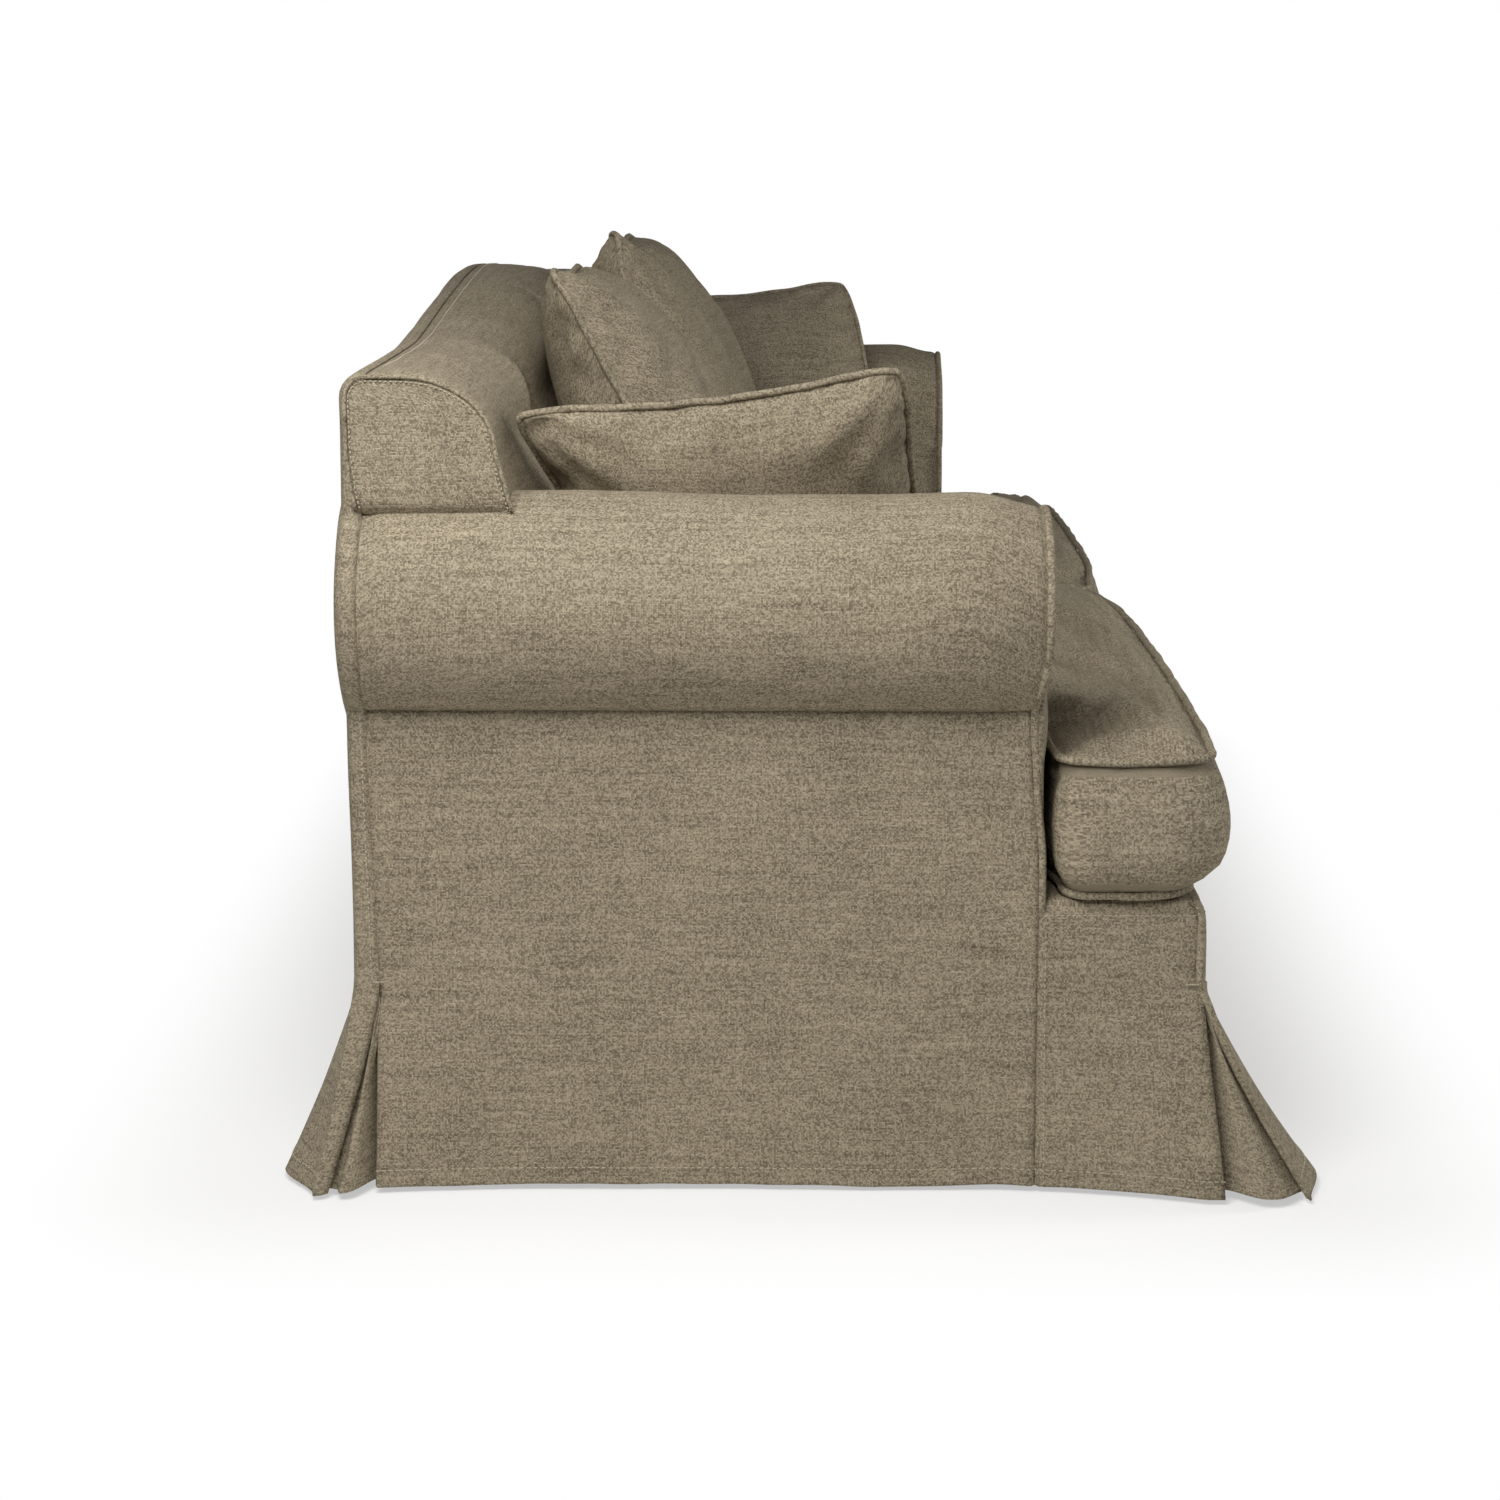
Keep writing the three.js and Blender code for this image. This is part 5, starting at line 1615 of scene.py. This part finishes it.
for i, j in cells:
    corners = [(i, j), (i, j + 1), (i + 1, j + 1), (i + 1, j)]
    for a, b in zip(corners, corners[1:] + corners[:1]):
        edges[a, b] = True
border = {a: b for a, b in edges if (b, a) not in edges}
outline = [next(iter(border))]
while border[outline[-1]] != outline[0]:
    outline.append(border[outline[-1]])
outline_xy = np.array([plan[key] for key in outline])
print("cushion plan:", len(plan), "points,", len(outline), "on its seam")

# %% [markdown]
# The crown rises from the seam like a sine curve and is flat in the middle. The boxing stands out
# between its two seams, as a filled band of cloth does where nothing holds it back.

# %% The T cushion's body
CROWN = 45  # how high the crown stands over its seam
CROWN_RUN = 230  # how far from the seam it is full
FRONT_SET_BACK = 17  # how far the bottom panel is drawn in at the front
EAR_SET_BACK = 7  # and behind the ear


def seam_distance(x, y):
    """Distance in mm from a place in the plan to the seam."""
    p = np.array((x, y))
    a = outline_xy
    b = np.roll(outline_xy, -1, axis=0)
    ab = b - a
    t = np.clip(((p - a) * ab).sum(axis=1) / np.maximum((ab * ab).sum(axis=1), 1e-9), 0, 1)
    return float(np.linalg.norm(a + ab * t[:, None] - p, axis=1).min())


def set_back(x, y):
    """How far the bottom panel is drawn in at the front edge and behind the ear."""
    at_front = FRONT_SET_BACK * (1 - smooth(0, 90, y - CUSHION_FRONT))
    behind_ear = EAR_SET_BACK * smooth(-300, EAR_Y, y) * smooth(SEAT_X + 20, SEAT_X + 80, x)
    return at_front - behind_ear * (y < EAR_Y + 1)


# How far the boxing stands out from its seam, level by level from the top one to the low one
BOXING_LEVELS = (0, 0.1, 0.25, 0.4, 0.55, 0.7, 0.82, 0.92, 1)
BOXING_SWELL = (0, 7, 14, 19, 22, 23.5, 21, 14, 2)


def front_bow(x, y, z):
    """Bows the front seam up and out in its middle, and draws in the corner by the split."""
    amount = max(0.0, math.sin(math.pi * (x - SPLIT_X) / (EAR_X - SPLIT_X))) ** 0.8
    at_front = 1 - smooth(0, 150, y - CUSHION_FRONT)
    amount *= at_front * smooth(LOW_SEAM, TOP_SEAM - 10, z)
    inner = 13 * (1 - smooth(0, 210, x - SPLIT_X)) * at_front
    return x, y - 7 * amount + inner, z + 8 * amount


def raked(point):
    """Leans the cushion's rear to follow the inside back."""
    x, y, z = point
    return x, y + RAKE * (z - DECK_Z) * smooth(EAR_Y, CUSHION_REAR, y), z


def cushion_mesh():
    """Points, faces, UVs and the held seam points of the right-hand cushion."""
    keys = list(plan)
    number = {key: n for n, key in enumerate(keys)}
    each = len(keys)
    away = {key: seam_distance(*plan[key]) for key in keys}
    points, uvs = [], []
    for key in keys:
        x, y = plan[key]
        full = CROWN + 7 * smooth(-120, 20, y)
        rise = full * math.sin(math.pi / 2 * min(1.0, away[key] / CROWN_RUN))
        # Near the middle of the sofa the front of the crown swells over its seam
        rise += 8 * math.exp(-(((x - 190) / 130) ** 2)) * smooth(0, 10, away[key]) * (
            1 - smooth(-380, -300, y))
        points.append(raked(front_bow(x, y, TOP_SEAM + 1.0 + rise)))
        uvs.append((x * MM, y * MM))
    for key in keys:
        x, y = plan[key]
        under = 1 - math.sin(math.pi / 2 * min(1.0, away[key] / 45))
        z = DECK_Z + 0.8 + (LOW_SEAM - 1.8 - DECK_Z) * under
        points.append(raked((x, y + set_back(x, y), z)))
        uvs.append((x * MM, y * MM))
    ahead = np.roll(outline_xy, -1, axis=0) - np.roll(outline_xy, 1, axis=0)
    out = unit(np.stack([ahead[:, 1], -ahead[:, 0]], axis=1))
    lengths = np.linalg.norm(np.roll(outline_xy, -1, axis=0) - outline_xy, axis=1)
    run = np.concatenate([[0], np.cumsum(lengths)[:-1]])
    levels = np.linspace(0, 1, 12)[1:-1]
    for level in levels:
        z = TOP_SEAM - 1 + (LOW_SEAM + 1 - TOP_SEAM + 1) * level
        for n, (x, y) in enumerate(outline_xy):
            free = max(0.0, -out[n, 1]) + (max(0.0, out[n, 0]) if y < EAR_Y + 5 else 0.0)
            swell = min(1.0, free) * np.interp(level, BOXING_LEVELS, BOXING_SWELL)
            swell -= 3.2 * (1 - smooth(0, 0.16, min(level, 1 - level)))
            back_by = set_back(x, y) * level**4
            point = (x + out[n, 0] * swell, y + out[n, 1] * swell + back_by, z)
            points.append(raked(front_bow(*point)))
            uvs.append((run[n] * MM, z * MM))
    faces = []
    for i, j in cells:
        a, b = number[i, j], number[i, j + 1]
        c, d = number[i + 1, j + 1], number[i + 1, j]
        faces.append((a, b, c, d))
        faces.append((each + d, each + c, each + b, each + a))
    count = len(outline)
    loops = [[number[key] for key in outline]]
    for k in range(len(levels)):
        loops.append([2 * each + k * count + n for n in range(count)])
    loops.append([each + number[key] for key in outline])
    for k in range(len(loops) - 1):
        for n in range(count):
            m = (n + 1) % count
            faces.append((loops[k][n], loops[k + 1][n], loops[k + 1][m], loops[k][m]))
    held = {index: 1.0 for index in loops[0] + loops[-1]}
    return np.array(points), faces, uvs, held, loops


base, faces, uvs, held, loops = cushion_mesh()
print("cushion:", len(base), "points,", len(faces), "faces,", len(held), "points on its seams")

# %% [markdown]
# Long folds run in from the front corner and shallow hollows lie between them, where somebody has
# sat and the cloth has stretched. Each fold is a soft ridge along a course in the plan.

# %% Folds where somebody sat
# Height, width and course of each long fold in the plan
FOLDS = [
    (12.0, 12, [(300, -270), (365, -312), (423, -338), (587, -357), (705, -366), (900, -371)]),
    (11.0, 11, [(560, -262), (620, -306), (690, -336), (790, -352), (900, -362), (1030, -368)]),
    (9.5, 11, [(800, -250), (860, -296), (930, -330), (1028, -360)]),
    (7.0, 11, [(1016, -250), (1002, -290), (1002, -330), (1030, -364)]),
    (4.5, 16, [(240, -180), (400, -230), (560, -250), (760, -240)]),
    (-7.0, 26, [(450, -300), (640, -280), (900, -285), (985, -290)]),
    (-4.5, 20, [(200, -220), (420, -265), (640, -262)]),
]


def course_distance(x, y, course):
    """Distance from a place to a fold's course, and how far along it lies, from 0 to 1."""
    a = np.array(course[:-1], float)
    ab = np.diff(np.array(course, float), axis=0)
    t = np.clip(((np.array((x, y)) - a) * ab).sum(axis=1) / (ab * ab).sum(axis=1), 0, 1)
    gaps = np.linalg.norm(a + ab * t[:, None] - (x, y), axis=1)
    k = int(np.argmin(gaps))
    return gaps[k], (k + t[k]) / len(a)


def sat_on(x, y):
    """Hollows and long folds in the cushion's top, in mm."""
    total = -5.0 * math.exp(-(((x - 470) / 260) ** 2 + ((y + 90) / 170) ** 2))
    total -= 12.0 * math.exp(-(((x - 760) / 200) ** 2 + ((y + 150) / 110) ** 2))
    for height, width, course in FOLDS:
        gap, share = course_distance(x, y, course)
        if gap < 3 * width:
            total += height * math.exp(-((gap / width) ** 2)) * smooth(0, 0.25, share + 0.04)
    return total


print("the deepest hollow is", round(-sat_on(760, -150), 1), "mm")

# %% [markdown]
# The right cushion is filled first, and the left one is made from the same filled form. Both then
# get their hollows and wrinkles, and every point is kept clear of the pieces round the cushion.

# %% Filling and dressing a cushion
BACK_AT_DECK = 174  # where the inside back meets the deck


def inside_bounds(p):
    """Keeps a cushion's point clear of the deck, the arm, the back and the other cushion."""
    x, y, z = p
    z = max(z, DECK_Z + 0.6)
    x = max(x, 1.5)
    if y > EAR_Y + 1:
        x = min(x, INNER_X - 1.5)
    elif x > SEAT_X + 2:
        y = min(y, ARM_FRONT_Y - 6)
    ends = 1 - smooth(0, BULGE_RUN, PANEL_X - x)
    rear = BACK_AT_DECK - BULGE + RAKE * (z - DECK_Z) + BULGE * ends
    return x, min(y, rear + 2), z


cushion = new_piece("seat_cushion_cover_right", base, faces, uvs, [cushion_linen])
shape = inflate(cushion, held, 3.0, 14, 0.02, 9.0) / MM


def dressed(seed, hollows, droop):
    """The filled form with hollows and small wrinkles, kept within its room."""
    out = shape.copy()
    top_count = len(plan)
    for n, p in enumerate(out):
        if n < top_count:
            calm = smooth(0, 30, seam_distance(base[n][0], base[n][1]))
            lump = 2.2 * wander(p, 150, seed) + 1.2 * wander(p, 60, seed) + 0.5 * wander(p, 28, seed)
            lift = sat_on(base[n][0], base[n][1]) * hollows + lump
            # In front nothing lies on the cushion, so a fold may stand up higher there
            room = 13 if p[1] < -230 else 4
            out[n, 2] = min(min(p[2], base[n][2] + 3) + lift * calm, base[n][2] + room)
        elif n >= 2 * top_count:
            level = min(1.0, abs(p[2] - TOP_SEAM) / 20) * min(1.0, abs(p[2] - LOW_SEAM) / 20)
            push = 1.6 * wander(p, 90, seed) + 0.8 * wander(p, 40, seed)
            if p[1] < EAR_Y - 10:
                out[n, 1] += push * level
                out[n, 0] += push * level * 0.6
        # An ear may hang a little, because nothing stands in front of the arm to hold it up
        hang = smooth(800, 1000, p[0]) * (1 - smooth(EAR_Y - 10, EAR_Y + 60, p[1]))
        out[n, 2] -= droop * hang * smooth(LOW_SEAM, TOP_SEAM, p[2])
        out[n] = inside_bounds(out[n])
    return out


print("filled form:", len(shape), "points")

# %% [markdown]
# Each cushion is piped round its upper and its lower seam. The cord lies just outside the seam
# and is pressed flat where the other cushion, the arm or the facing stands against it.

# %% Laying the cushions
cushions = {}


def lay_cushion(side, seed, hollows, droop):
    """Makes one dressed cushion with its two piped seams."""
    final = dressed(seed, hollows, droop)
    if side == "left":
        final = final * (-1, 1, 1)
        made = new_piece("seat_cushion_cover_left", final, faces, uvs, [cushion_linen])
    else:
        made = cushion
        made.data.vertices.foreach_set("co", (final * MM).ravel())
        made.data.update()
    sign = 1 if side == "right" else -1
    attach(made, "seat_cushion_" + side)
    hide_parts("seat_cushion_" + side)
    for name, seam, drop in (("top", loops[0], 1.4), ("low", loops[-1], -0.6)):
        path = final[seam]
        around = np.roll(path, -1, axis=0) - np.roll(path, 1, axis=0)
        out = sign * unit(np.stack([around[:, 1], -around[:, 0], np.zeros(len(path))], axis=1))
        path = path + out * 3.3 + (0, 0, drop)
        # Beside a neighbour the cord is pressed flat against it
        for p in path:
            p[0] = sign * max(sign * p[0], 4.6)
            if p[1] > EAR_Y + 4:
                p[0] = sign * min(sign * p[0], INNER_X - 5.2)
            elif sign * p[0] > INNER_X:
                p[1] = min(p[1], EAR_Y - 1.5)
        piping("cushion_piping_" + name + "_" + side, path, 4.1, True, made, waver=1.6,
               seed=seed, gap=5.5)
    cushions[side] = made


lay_cushion("right", 3.3, 0.6, 17.0)
lay_cushion("left", 7.7, 1.1, 0.0)
print("seat cushions:", [len(c.data.polygons) for c in cushions.values()], "faces")

# %% [markdown]
# A scatter pillow is two square panels sewn edge to edge with piping. Filled, its sides draw in,
# its corners stay pointed and the filling sinks, so it is fuller below than above. It is made
# lying in its own frame, then leaned and turned exactly as its CAD solid was.

# %% Pillows
PILLOW_WELT = 3.5
PILLOW_ROWS = 46
CROWDING = 0.93  # 1 would crowd the rows most towards the seams, and 0 not at all


def pillow_point(u, v, way, size, skew, fullness=1.0, draw=0.12, blunt=0.0):
    """A point of a pillow's face in its own frame, from -1 to 1 across and up it."""
    half = size / 2 - PILLOW_WELT
    z = half * v * (1 - draw * (1 - u * u)) * math.sqrt(1 - blunt * u**8)
    x = half * u * (1 - draw * (1 - v * v)) * math.sqrt(1 - blunt * v**8) - skew * z
    swell = max(0.0, (1 - u * u) * (1 - v * v)) ** 0.42 * (1 - 0.22 * v)
    return x, way * (0.2 * size * fullness * swell), z


def pillow_mesh(size, skew, fullness):
    """Both faces of a pillow share the points of their seam."""
    turns = np.linspace(-1, 1, PILLOW_ROWS) * math.pi / 2 * CROWDING
    ticks = np.sin(turns) / math.sin(math.pi / 2 * CROWDING)
    n = PILLOW_ROWS
    points, places = [], []
    number = {-1: np.zeros((n, n), int), 1: np.zeros((n, n), int)}
    for way in (-1, 1):
        for i, v in enumerate(ticks):
            for j, u in enumerate(ticks):
                on_rim = i in (0, n - 1) or j in (0, n - 1)
                if on_rim and way == 1:
                    number[1][i, j] = number[-1][i, j]
                    continue
                number[way][i, j] = len(points)
                points.append(pillow_point(u, v, way, size, skew, fullness, 0.055, 0.12))
                places.append((u, v))
    faces = []
    for way in (-1, 1):
        k = number[way]
        for i in range(n - 1):
            for j in range(n - 1):
                quad = [k[i, j], k[i, j + 1], k[i + 1, j + 1], k[i + 1, j]]
                faces.append(tuple(int(c) for c in (quad if way < 0 else quad[::-1])))
    rim = [int(number[-1][i, j]) for i, j in rim_of(n, n)]
    return np.array(points), faces, number, np.array(places), rim


def pillow_uv(points, number):
    """Distances along each face's own cloth; the seam takes the mean of both faces."""
    total = np.zeros((len(points), 2))
    shared = np.zeros((len(points), 1))
    for grid in number.values():
        uv = cloth_uv(points[grid])
        np.add.at(total, grid.ravel(), uv.reshape(-1, 2))
        np.add.at(shared, grid.ravel(), 1)
    return total / shared


def turned_as_cad(points, tilt, lean, turn_by):
    """Tilts, leans and turns points about the frame's axes, in degrees."""
    spin = (Matrix.Rotation(math.radians(turn_by), 3, "Z")
            @ Matrix.Rotation(math.radians(-lean), 3, "X")
            @ Matrix.Rotation(math.radians(tilt), 3, "Y"))
    return points @ np.array(spin).T


print("half a back pillow's thickness:", round(pillow_point(0, 0, 1, 434, 0)[1], 1), "mm")

# %% [markdown]
# Two pillows are simulated, one of each size. The others are copies of them that are creased and
# slumped differently by noise, because a simulation for each would only cost time.

# %% Filling the pillows
PILLOW_KINDS = (("back", 434, 0.0), ("arm", 356, 0.16))  # name, width and how far it leans over
filled = {}
for label, size, skew in PILLOW_KINDS:
    start, pillow_faces, number, uv_places, rim = pillow_mesh(size, skew, 0.95)
    trial = new_piece("pillow_trial", start, pillow_faces, pillow_uv(start, number), [pillow_linen])
    result = inflate(trial, {index: 1.0 for index in rim}, 2.6, 16, 0.035, 9.0, 0.25) / MM
    bpy.data.objects.remove(trial)
    filled[label] = (result, pillow_faces, number, uv_places, rim, size, skew)
print("filled pillows:", list(filled))

# %% [markdown]
# A used pillow is creased where it was folded or leaned on, its cloth fans out in small folds
# from each corner, and a corner or an edge is pulled out of line. Each is a short formula on the
# pillow's own face.

# %% Creases and corners


def crease(p, at, along_way, width, depth, length):
    """Depth of a straight crease at a point of a pillow's face, fading at its ends."""
    offset = Vector((p[0] - at[0], p[2] - at[1]))
    way = Vector(along_way).normalized()
    run = offset.dot(way)
    side = offset.x * way.y - offset.y * way.x
    return -depth * math.exp(-((side / width) ** 2) - (run / length) ** 2)


def corner_puckers(u, v, size, seed):
    """Small folds that fan out from each corner of a pillow."""
    total = 0.0
    for su in (-1, 1):
        for sv in (-1, 1):
            across_by = (1 - su * u) * size / 2
            down_by = (1 - sv * v) * size / 2
            gap = math.hypot(across_by, down_by)
            turn = math.atan2(down_by, across_by)
            wave = math.sin(10 * turn + seed * (1.3 + su + 2 * sv))
            total += 3.6 * wave * math.exp(-(((gap - 70) / 42) ** 2))
    return total


def corner_pull(u, v, pulls):
    """How far a place is carried along by corners, or by a whole edge where a sign is 0."""
    total = np.zeros(3)
    for (su, sv), pull in pulls.items():
        share = ((1 + su * u) / 2 if su else 1) * ((1 + sv * v) / 2 if sv else 1)
        total += np.array(pull) * share**4
    return total


print("a crease is", round(-crease((0, 0, 0), (0, 0), (1, 0), 14, 6, 60), 1), "mm deep in its middle")

# %% [markdown]
# Every pillow has its own creases and pulls, because no two lie alike. The table gives them, and each
# pillow is then leaned, turned and moved to where its CAD solid lies.

# %% Laying the pillows
PILLOWS = {
    # Name: kind, tilt, lean, turn, side (-1 is mirrored), seed, corner pulls, and creases as
    # place, way, width, depth and length
    "back_left": ("back", 0, 27, 0, 1, 5.0, {
        (-1, 1): (-8, 12, 9), (-1, 0): (0, -12, 0), (1, 1): (0, 2, -8)}, [
        ((130, -30), (0, 1), 45, -9, 120),
        ((-150, 60), (1, 0.5), 14, 7, 60), ((-120, -20), (1, 0.7), 17, 8, 55),
        ((-165, 140), (1, 0.2), 10, 5, 45), ((-60, 20), (1, 0.9), 20, 5, 70),
        ((60, 150), (0.3, 1), 16, 5, 60)]),
    "back_centre": ("back", 0, 20, 0, 1, 12.0, {(-1, 1): (0, -26, 14), (1, 1): (0, 0, -34)}, [
        ((-150, 120), (1, -0.6), 14, 6, 60), ((-40, 150), (0.2, 1), 20, 6, 80),
        ((120, 60), (1, 0.5), 16, 6, 60)]),
    "back_right": ("back", 0, 21, 0, 1, 19.0, {(-1, 1): (0, 0, -28), (1, 1): (0, 0, -30)}, [
        ((-140, 80), (1, -0.4), 16, 6, 60), ((150, 40), (1, 0.4), 16, 6, 60)]),
    "arm_right": ("arm", -5, 34, -99, 1, 26.0, {(1, 1): (-14, 0, 10), (1, -1): (-24, 0, 0)}, [
        ((-130, 80), (1, 0.5), 14, 5, 50), ((120, -20), (1, 0.3), 18, 5, 60)]),
    "arm_left": ("arm", -5, 34, -99, -1, 33.0, {
        (-1, 1): (-26, 0, 0), (-1, -1): (-16, 0, 0), (1, 1): (9, 0, 16)}, [
        ((-140, 90), (0.6, 1), 12, 7, 50), ((-110, 60), (0.5, 1), 14, 6, 60),
        ((-150, 30), (1, 0.6), 12, 6, 40), ((130, 100), (0.4, -1), 16, 5, 60),
        ((60, 20), (1, 0.15), 28, 5, 110)]),
}

pillows = {}
for place, (kind, tilt, lean, turn_by, sign, seed, pulls, creases) in PILLOWS.items():
    result, pillow_faces, number, uv_places, rim, size, skew = filled[kind]
    local = result.copy()
    facing = np.sign(local[:, 1])
    inner = np.clip(np.abs(local[:, 1]) / 30, 0, 1)
    for n, p in enumerate(result):
        u, v = uv_places[n]
        push = 3.0 * wander(p, 130, seed) + 2.2 * wander(p, 60, seed) + 0.8 * wander(p, 26, seed)
        push += corner_puckers(u, v, size, seed)
        push += sum(crease(p, *c) for c in creases) if p[1] < 0 else 0.5 * sum(
            crease((-p[0], p[1], p[2]), *c) for c in creases)
        local[n, 1] += facing[n] * push * inner[n]
        local[n] += corner_pull(u, v, pulls)
        local[n] += [3.5 * wander(p, 150, seed + k) for k in (2.0, 4.0, 6.0)]
    # A pillow's plain form, only to find its place
    ticks = np.linspace(-1, 1, 9)
    plain = np.array([pillow_point(u, v, way, size, skew) for way in (-1, 1)
                      for u in ticks for v in ticks])
    sewn = np.array(size / 2 / (size / 2 - PILLOW_WELT))
    plain = turned_as_cad(plain * (sewn, 1, sewn), tilt, lean, turn_by) * (sign, 1, 1)
    placed = turned_as_cad(local, tilt, lean, turn_by) * (sign, 1, 1)
    low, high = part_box("pillow_" + place)
    centre = (np.array(low) + np.array(high)) / 2 / MM
    shift = centre - (plain.min(axis=0) + plain.max(axis=0)) / 2
    placed = placed + shift
    made = new_piece("pillow_cover_" + place, placed, pillow_faces, pillow_uv(placed, number),
                     [pillow_linen])
    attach(made, "pillow_" + place)
    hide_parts("pillow_" + place)
    path = placed[rim]
    middle = path.mean(axis=0)
    path = path + unit(path - middle) * 1.8
    piping("pillow_piping_" + place, path, 3.6, True, made, waver=1.8, seed=seed, gap=5.0)
    pillows[place] = made
print("pillows:", list(pillows))

# %% [markdown]
# The studio has a pale matt floor that catches a soft shadow. Further off it fades to plain
# white, but only as the camera sees it, so that it throws no extra light on the sofa.

# %% Floor
FLOOR_REACH = 14  # metres
UNDER_SOFA = (1.05, 0.45, 0)  # half sizes in metres of the floor that stays unfaded


def floor_material():
    """Matt pale paint near the sofa, which fades to plain white for the camera further off."""
    material, add = new_material("pale_floor_paint")
    place = add("TexCoord")["Object"]
    side = add("VectorMath", {0: place}, operation="ABSOLUTE")[0]
    past = add("VectorMath", {0: side, 1: UNDER_SOFA}, operation="SUBTRACT")[0]
    past = add("VectorMath", {0: past, 1: (0, 0, 0)}, operation="MAXIMUM")[0]
    far = add("VectorMath", {0: past}, operation="LENGTH")["Value"]
    fade = add(
        "MapRange",
        {"Value": far, "From Min": 0.0, "From Max": 0.32, "To Min": 0.5, "To Max": 1.0},
        interpolation_type="SMOOTHSTEP"
    )[0]
    seen = add("LightPath")["Is Camera Ray"]
    white = add("Math", {0: fade, 1: seen}, operation="MULTIPLY")[0]
    grain = add("TexNoise", {"Vector": place, "Scale": 300})[0]
    bump = add("Bump", {"Strength": 0.05, "Distance": 0.001, "Height": grain})[0]
    paint = add("BsdfDiffuse", {"Color": tint("#f6f5f2"), "Normal": bump})[0]
    glow = add("Emission", {"Color": (1, 1, 1, 1), "Strength": 1.0})[0]
    mixed = add("MixShader", {0: white, 1: paint, 2: glow})[0]
    add("OutputMaterial", {0: mixed})
    return material


floor_mesh = bpy.data.meshes.new("studio_floor")
floor_corners = [(a * FLOOR_REACH, b * FLOOR_REACH, 0)
                 for a, b in ((-1, -1), (1, -1), (1, 1), (-1, 1))]
floor_mesh.from_pydata(floor_corners, [], [(0, 1, 2, 3)])
floor_mesh.materials.append(floor_material())
floor = bpy.data.objects.new("studio_floor", floor_mesh)
bpy.context.scene.collection.objects.link(floor)
print("floor:", 2 * FLOOR_REACH, "m wide")

# %% [markdown]
# One large soft lamp hangs high on the camera's side. A low one in front draws the pillows'
# outlines, and weak ones fill from the far end and from behind. White is only what the camera
# sees behind the sofa; the sky's own light on the cloth is kept very weak.

# %% Lamps and sky


def soft_lamp(name, place, target, size, watts):
    """A large square lamp that looks at a target."""
    data = bpy.data.lights.new(name, "AREA")
    data.shape = "SQUARE"
    data.size = size
    data.energy = watts
    lamp = bpy.data.objects.new(name, data)
    lamp.location = place
    look = Vector(target) - Vector(place)
    lamp.rotation_euler = look.to_track_quat("-Z", "Y").to_euler()
    bpy.context.scene.collection.objects.link(lamp)


soft_lamp("key", (-2.0, 0.42, 1.8), (-1.03, 0, 0.42), 1.15, 39)
soft_lamp("far_fill", (4.2, 0.4, 0.9), (1.0, 0, 0.4), 2.0, 14)
soft_lamp("front", (-0.25, -2.9, 1.15), (-0.3, 0, 0.6), 0.8, 33)
soft_lamp("rear", (0.6, 3.6, 1.4), (0, 0, 0.5), 2.0, 16)

sky = bpy.data.worlds.new("studio_sky")
sky.use_nodes = True
sky.node_tree.nodes.clear()
add = functools.partial(add_node, sky.node_tree)
ray = add("LightPath")
seen = add(
    "Math", {0: ray["Is Camera Ray"], 1: ray["Is Glossy Ray"]}, operation="MAXIMUM"
)[0]
seen = add(
    "Math", {0: seen, 1: ray["Is Transmission Ray"]}, operation="MAXIMUM"
)[0]
light = add(
    "Background", {"Color": tint("#f4f6fa"), "Strength": 0.03}
)[0]
shown = add(
    "Background", {"Color": (1, 1, 1, 1), "Strength": 1.0}
)[0]
both = add("MixShader", {0: seen, 1: light, 2: shown})[0]
add("OutputWorld", {0: both})
bpy.context.scene.world = sky
bpy.context.scene.view_settings.view_transform = "Standard"

# %% Sizes and the end
print("flat sizes of the sheets, width, height and area in metres:", cuts)
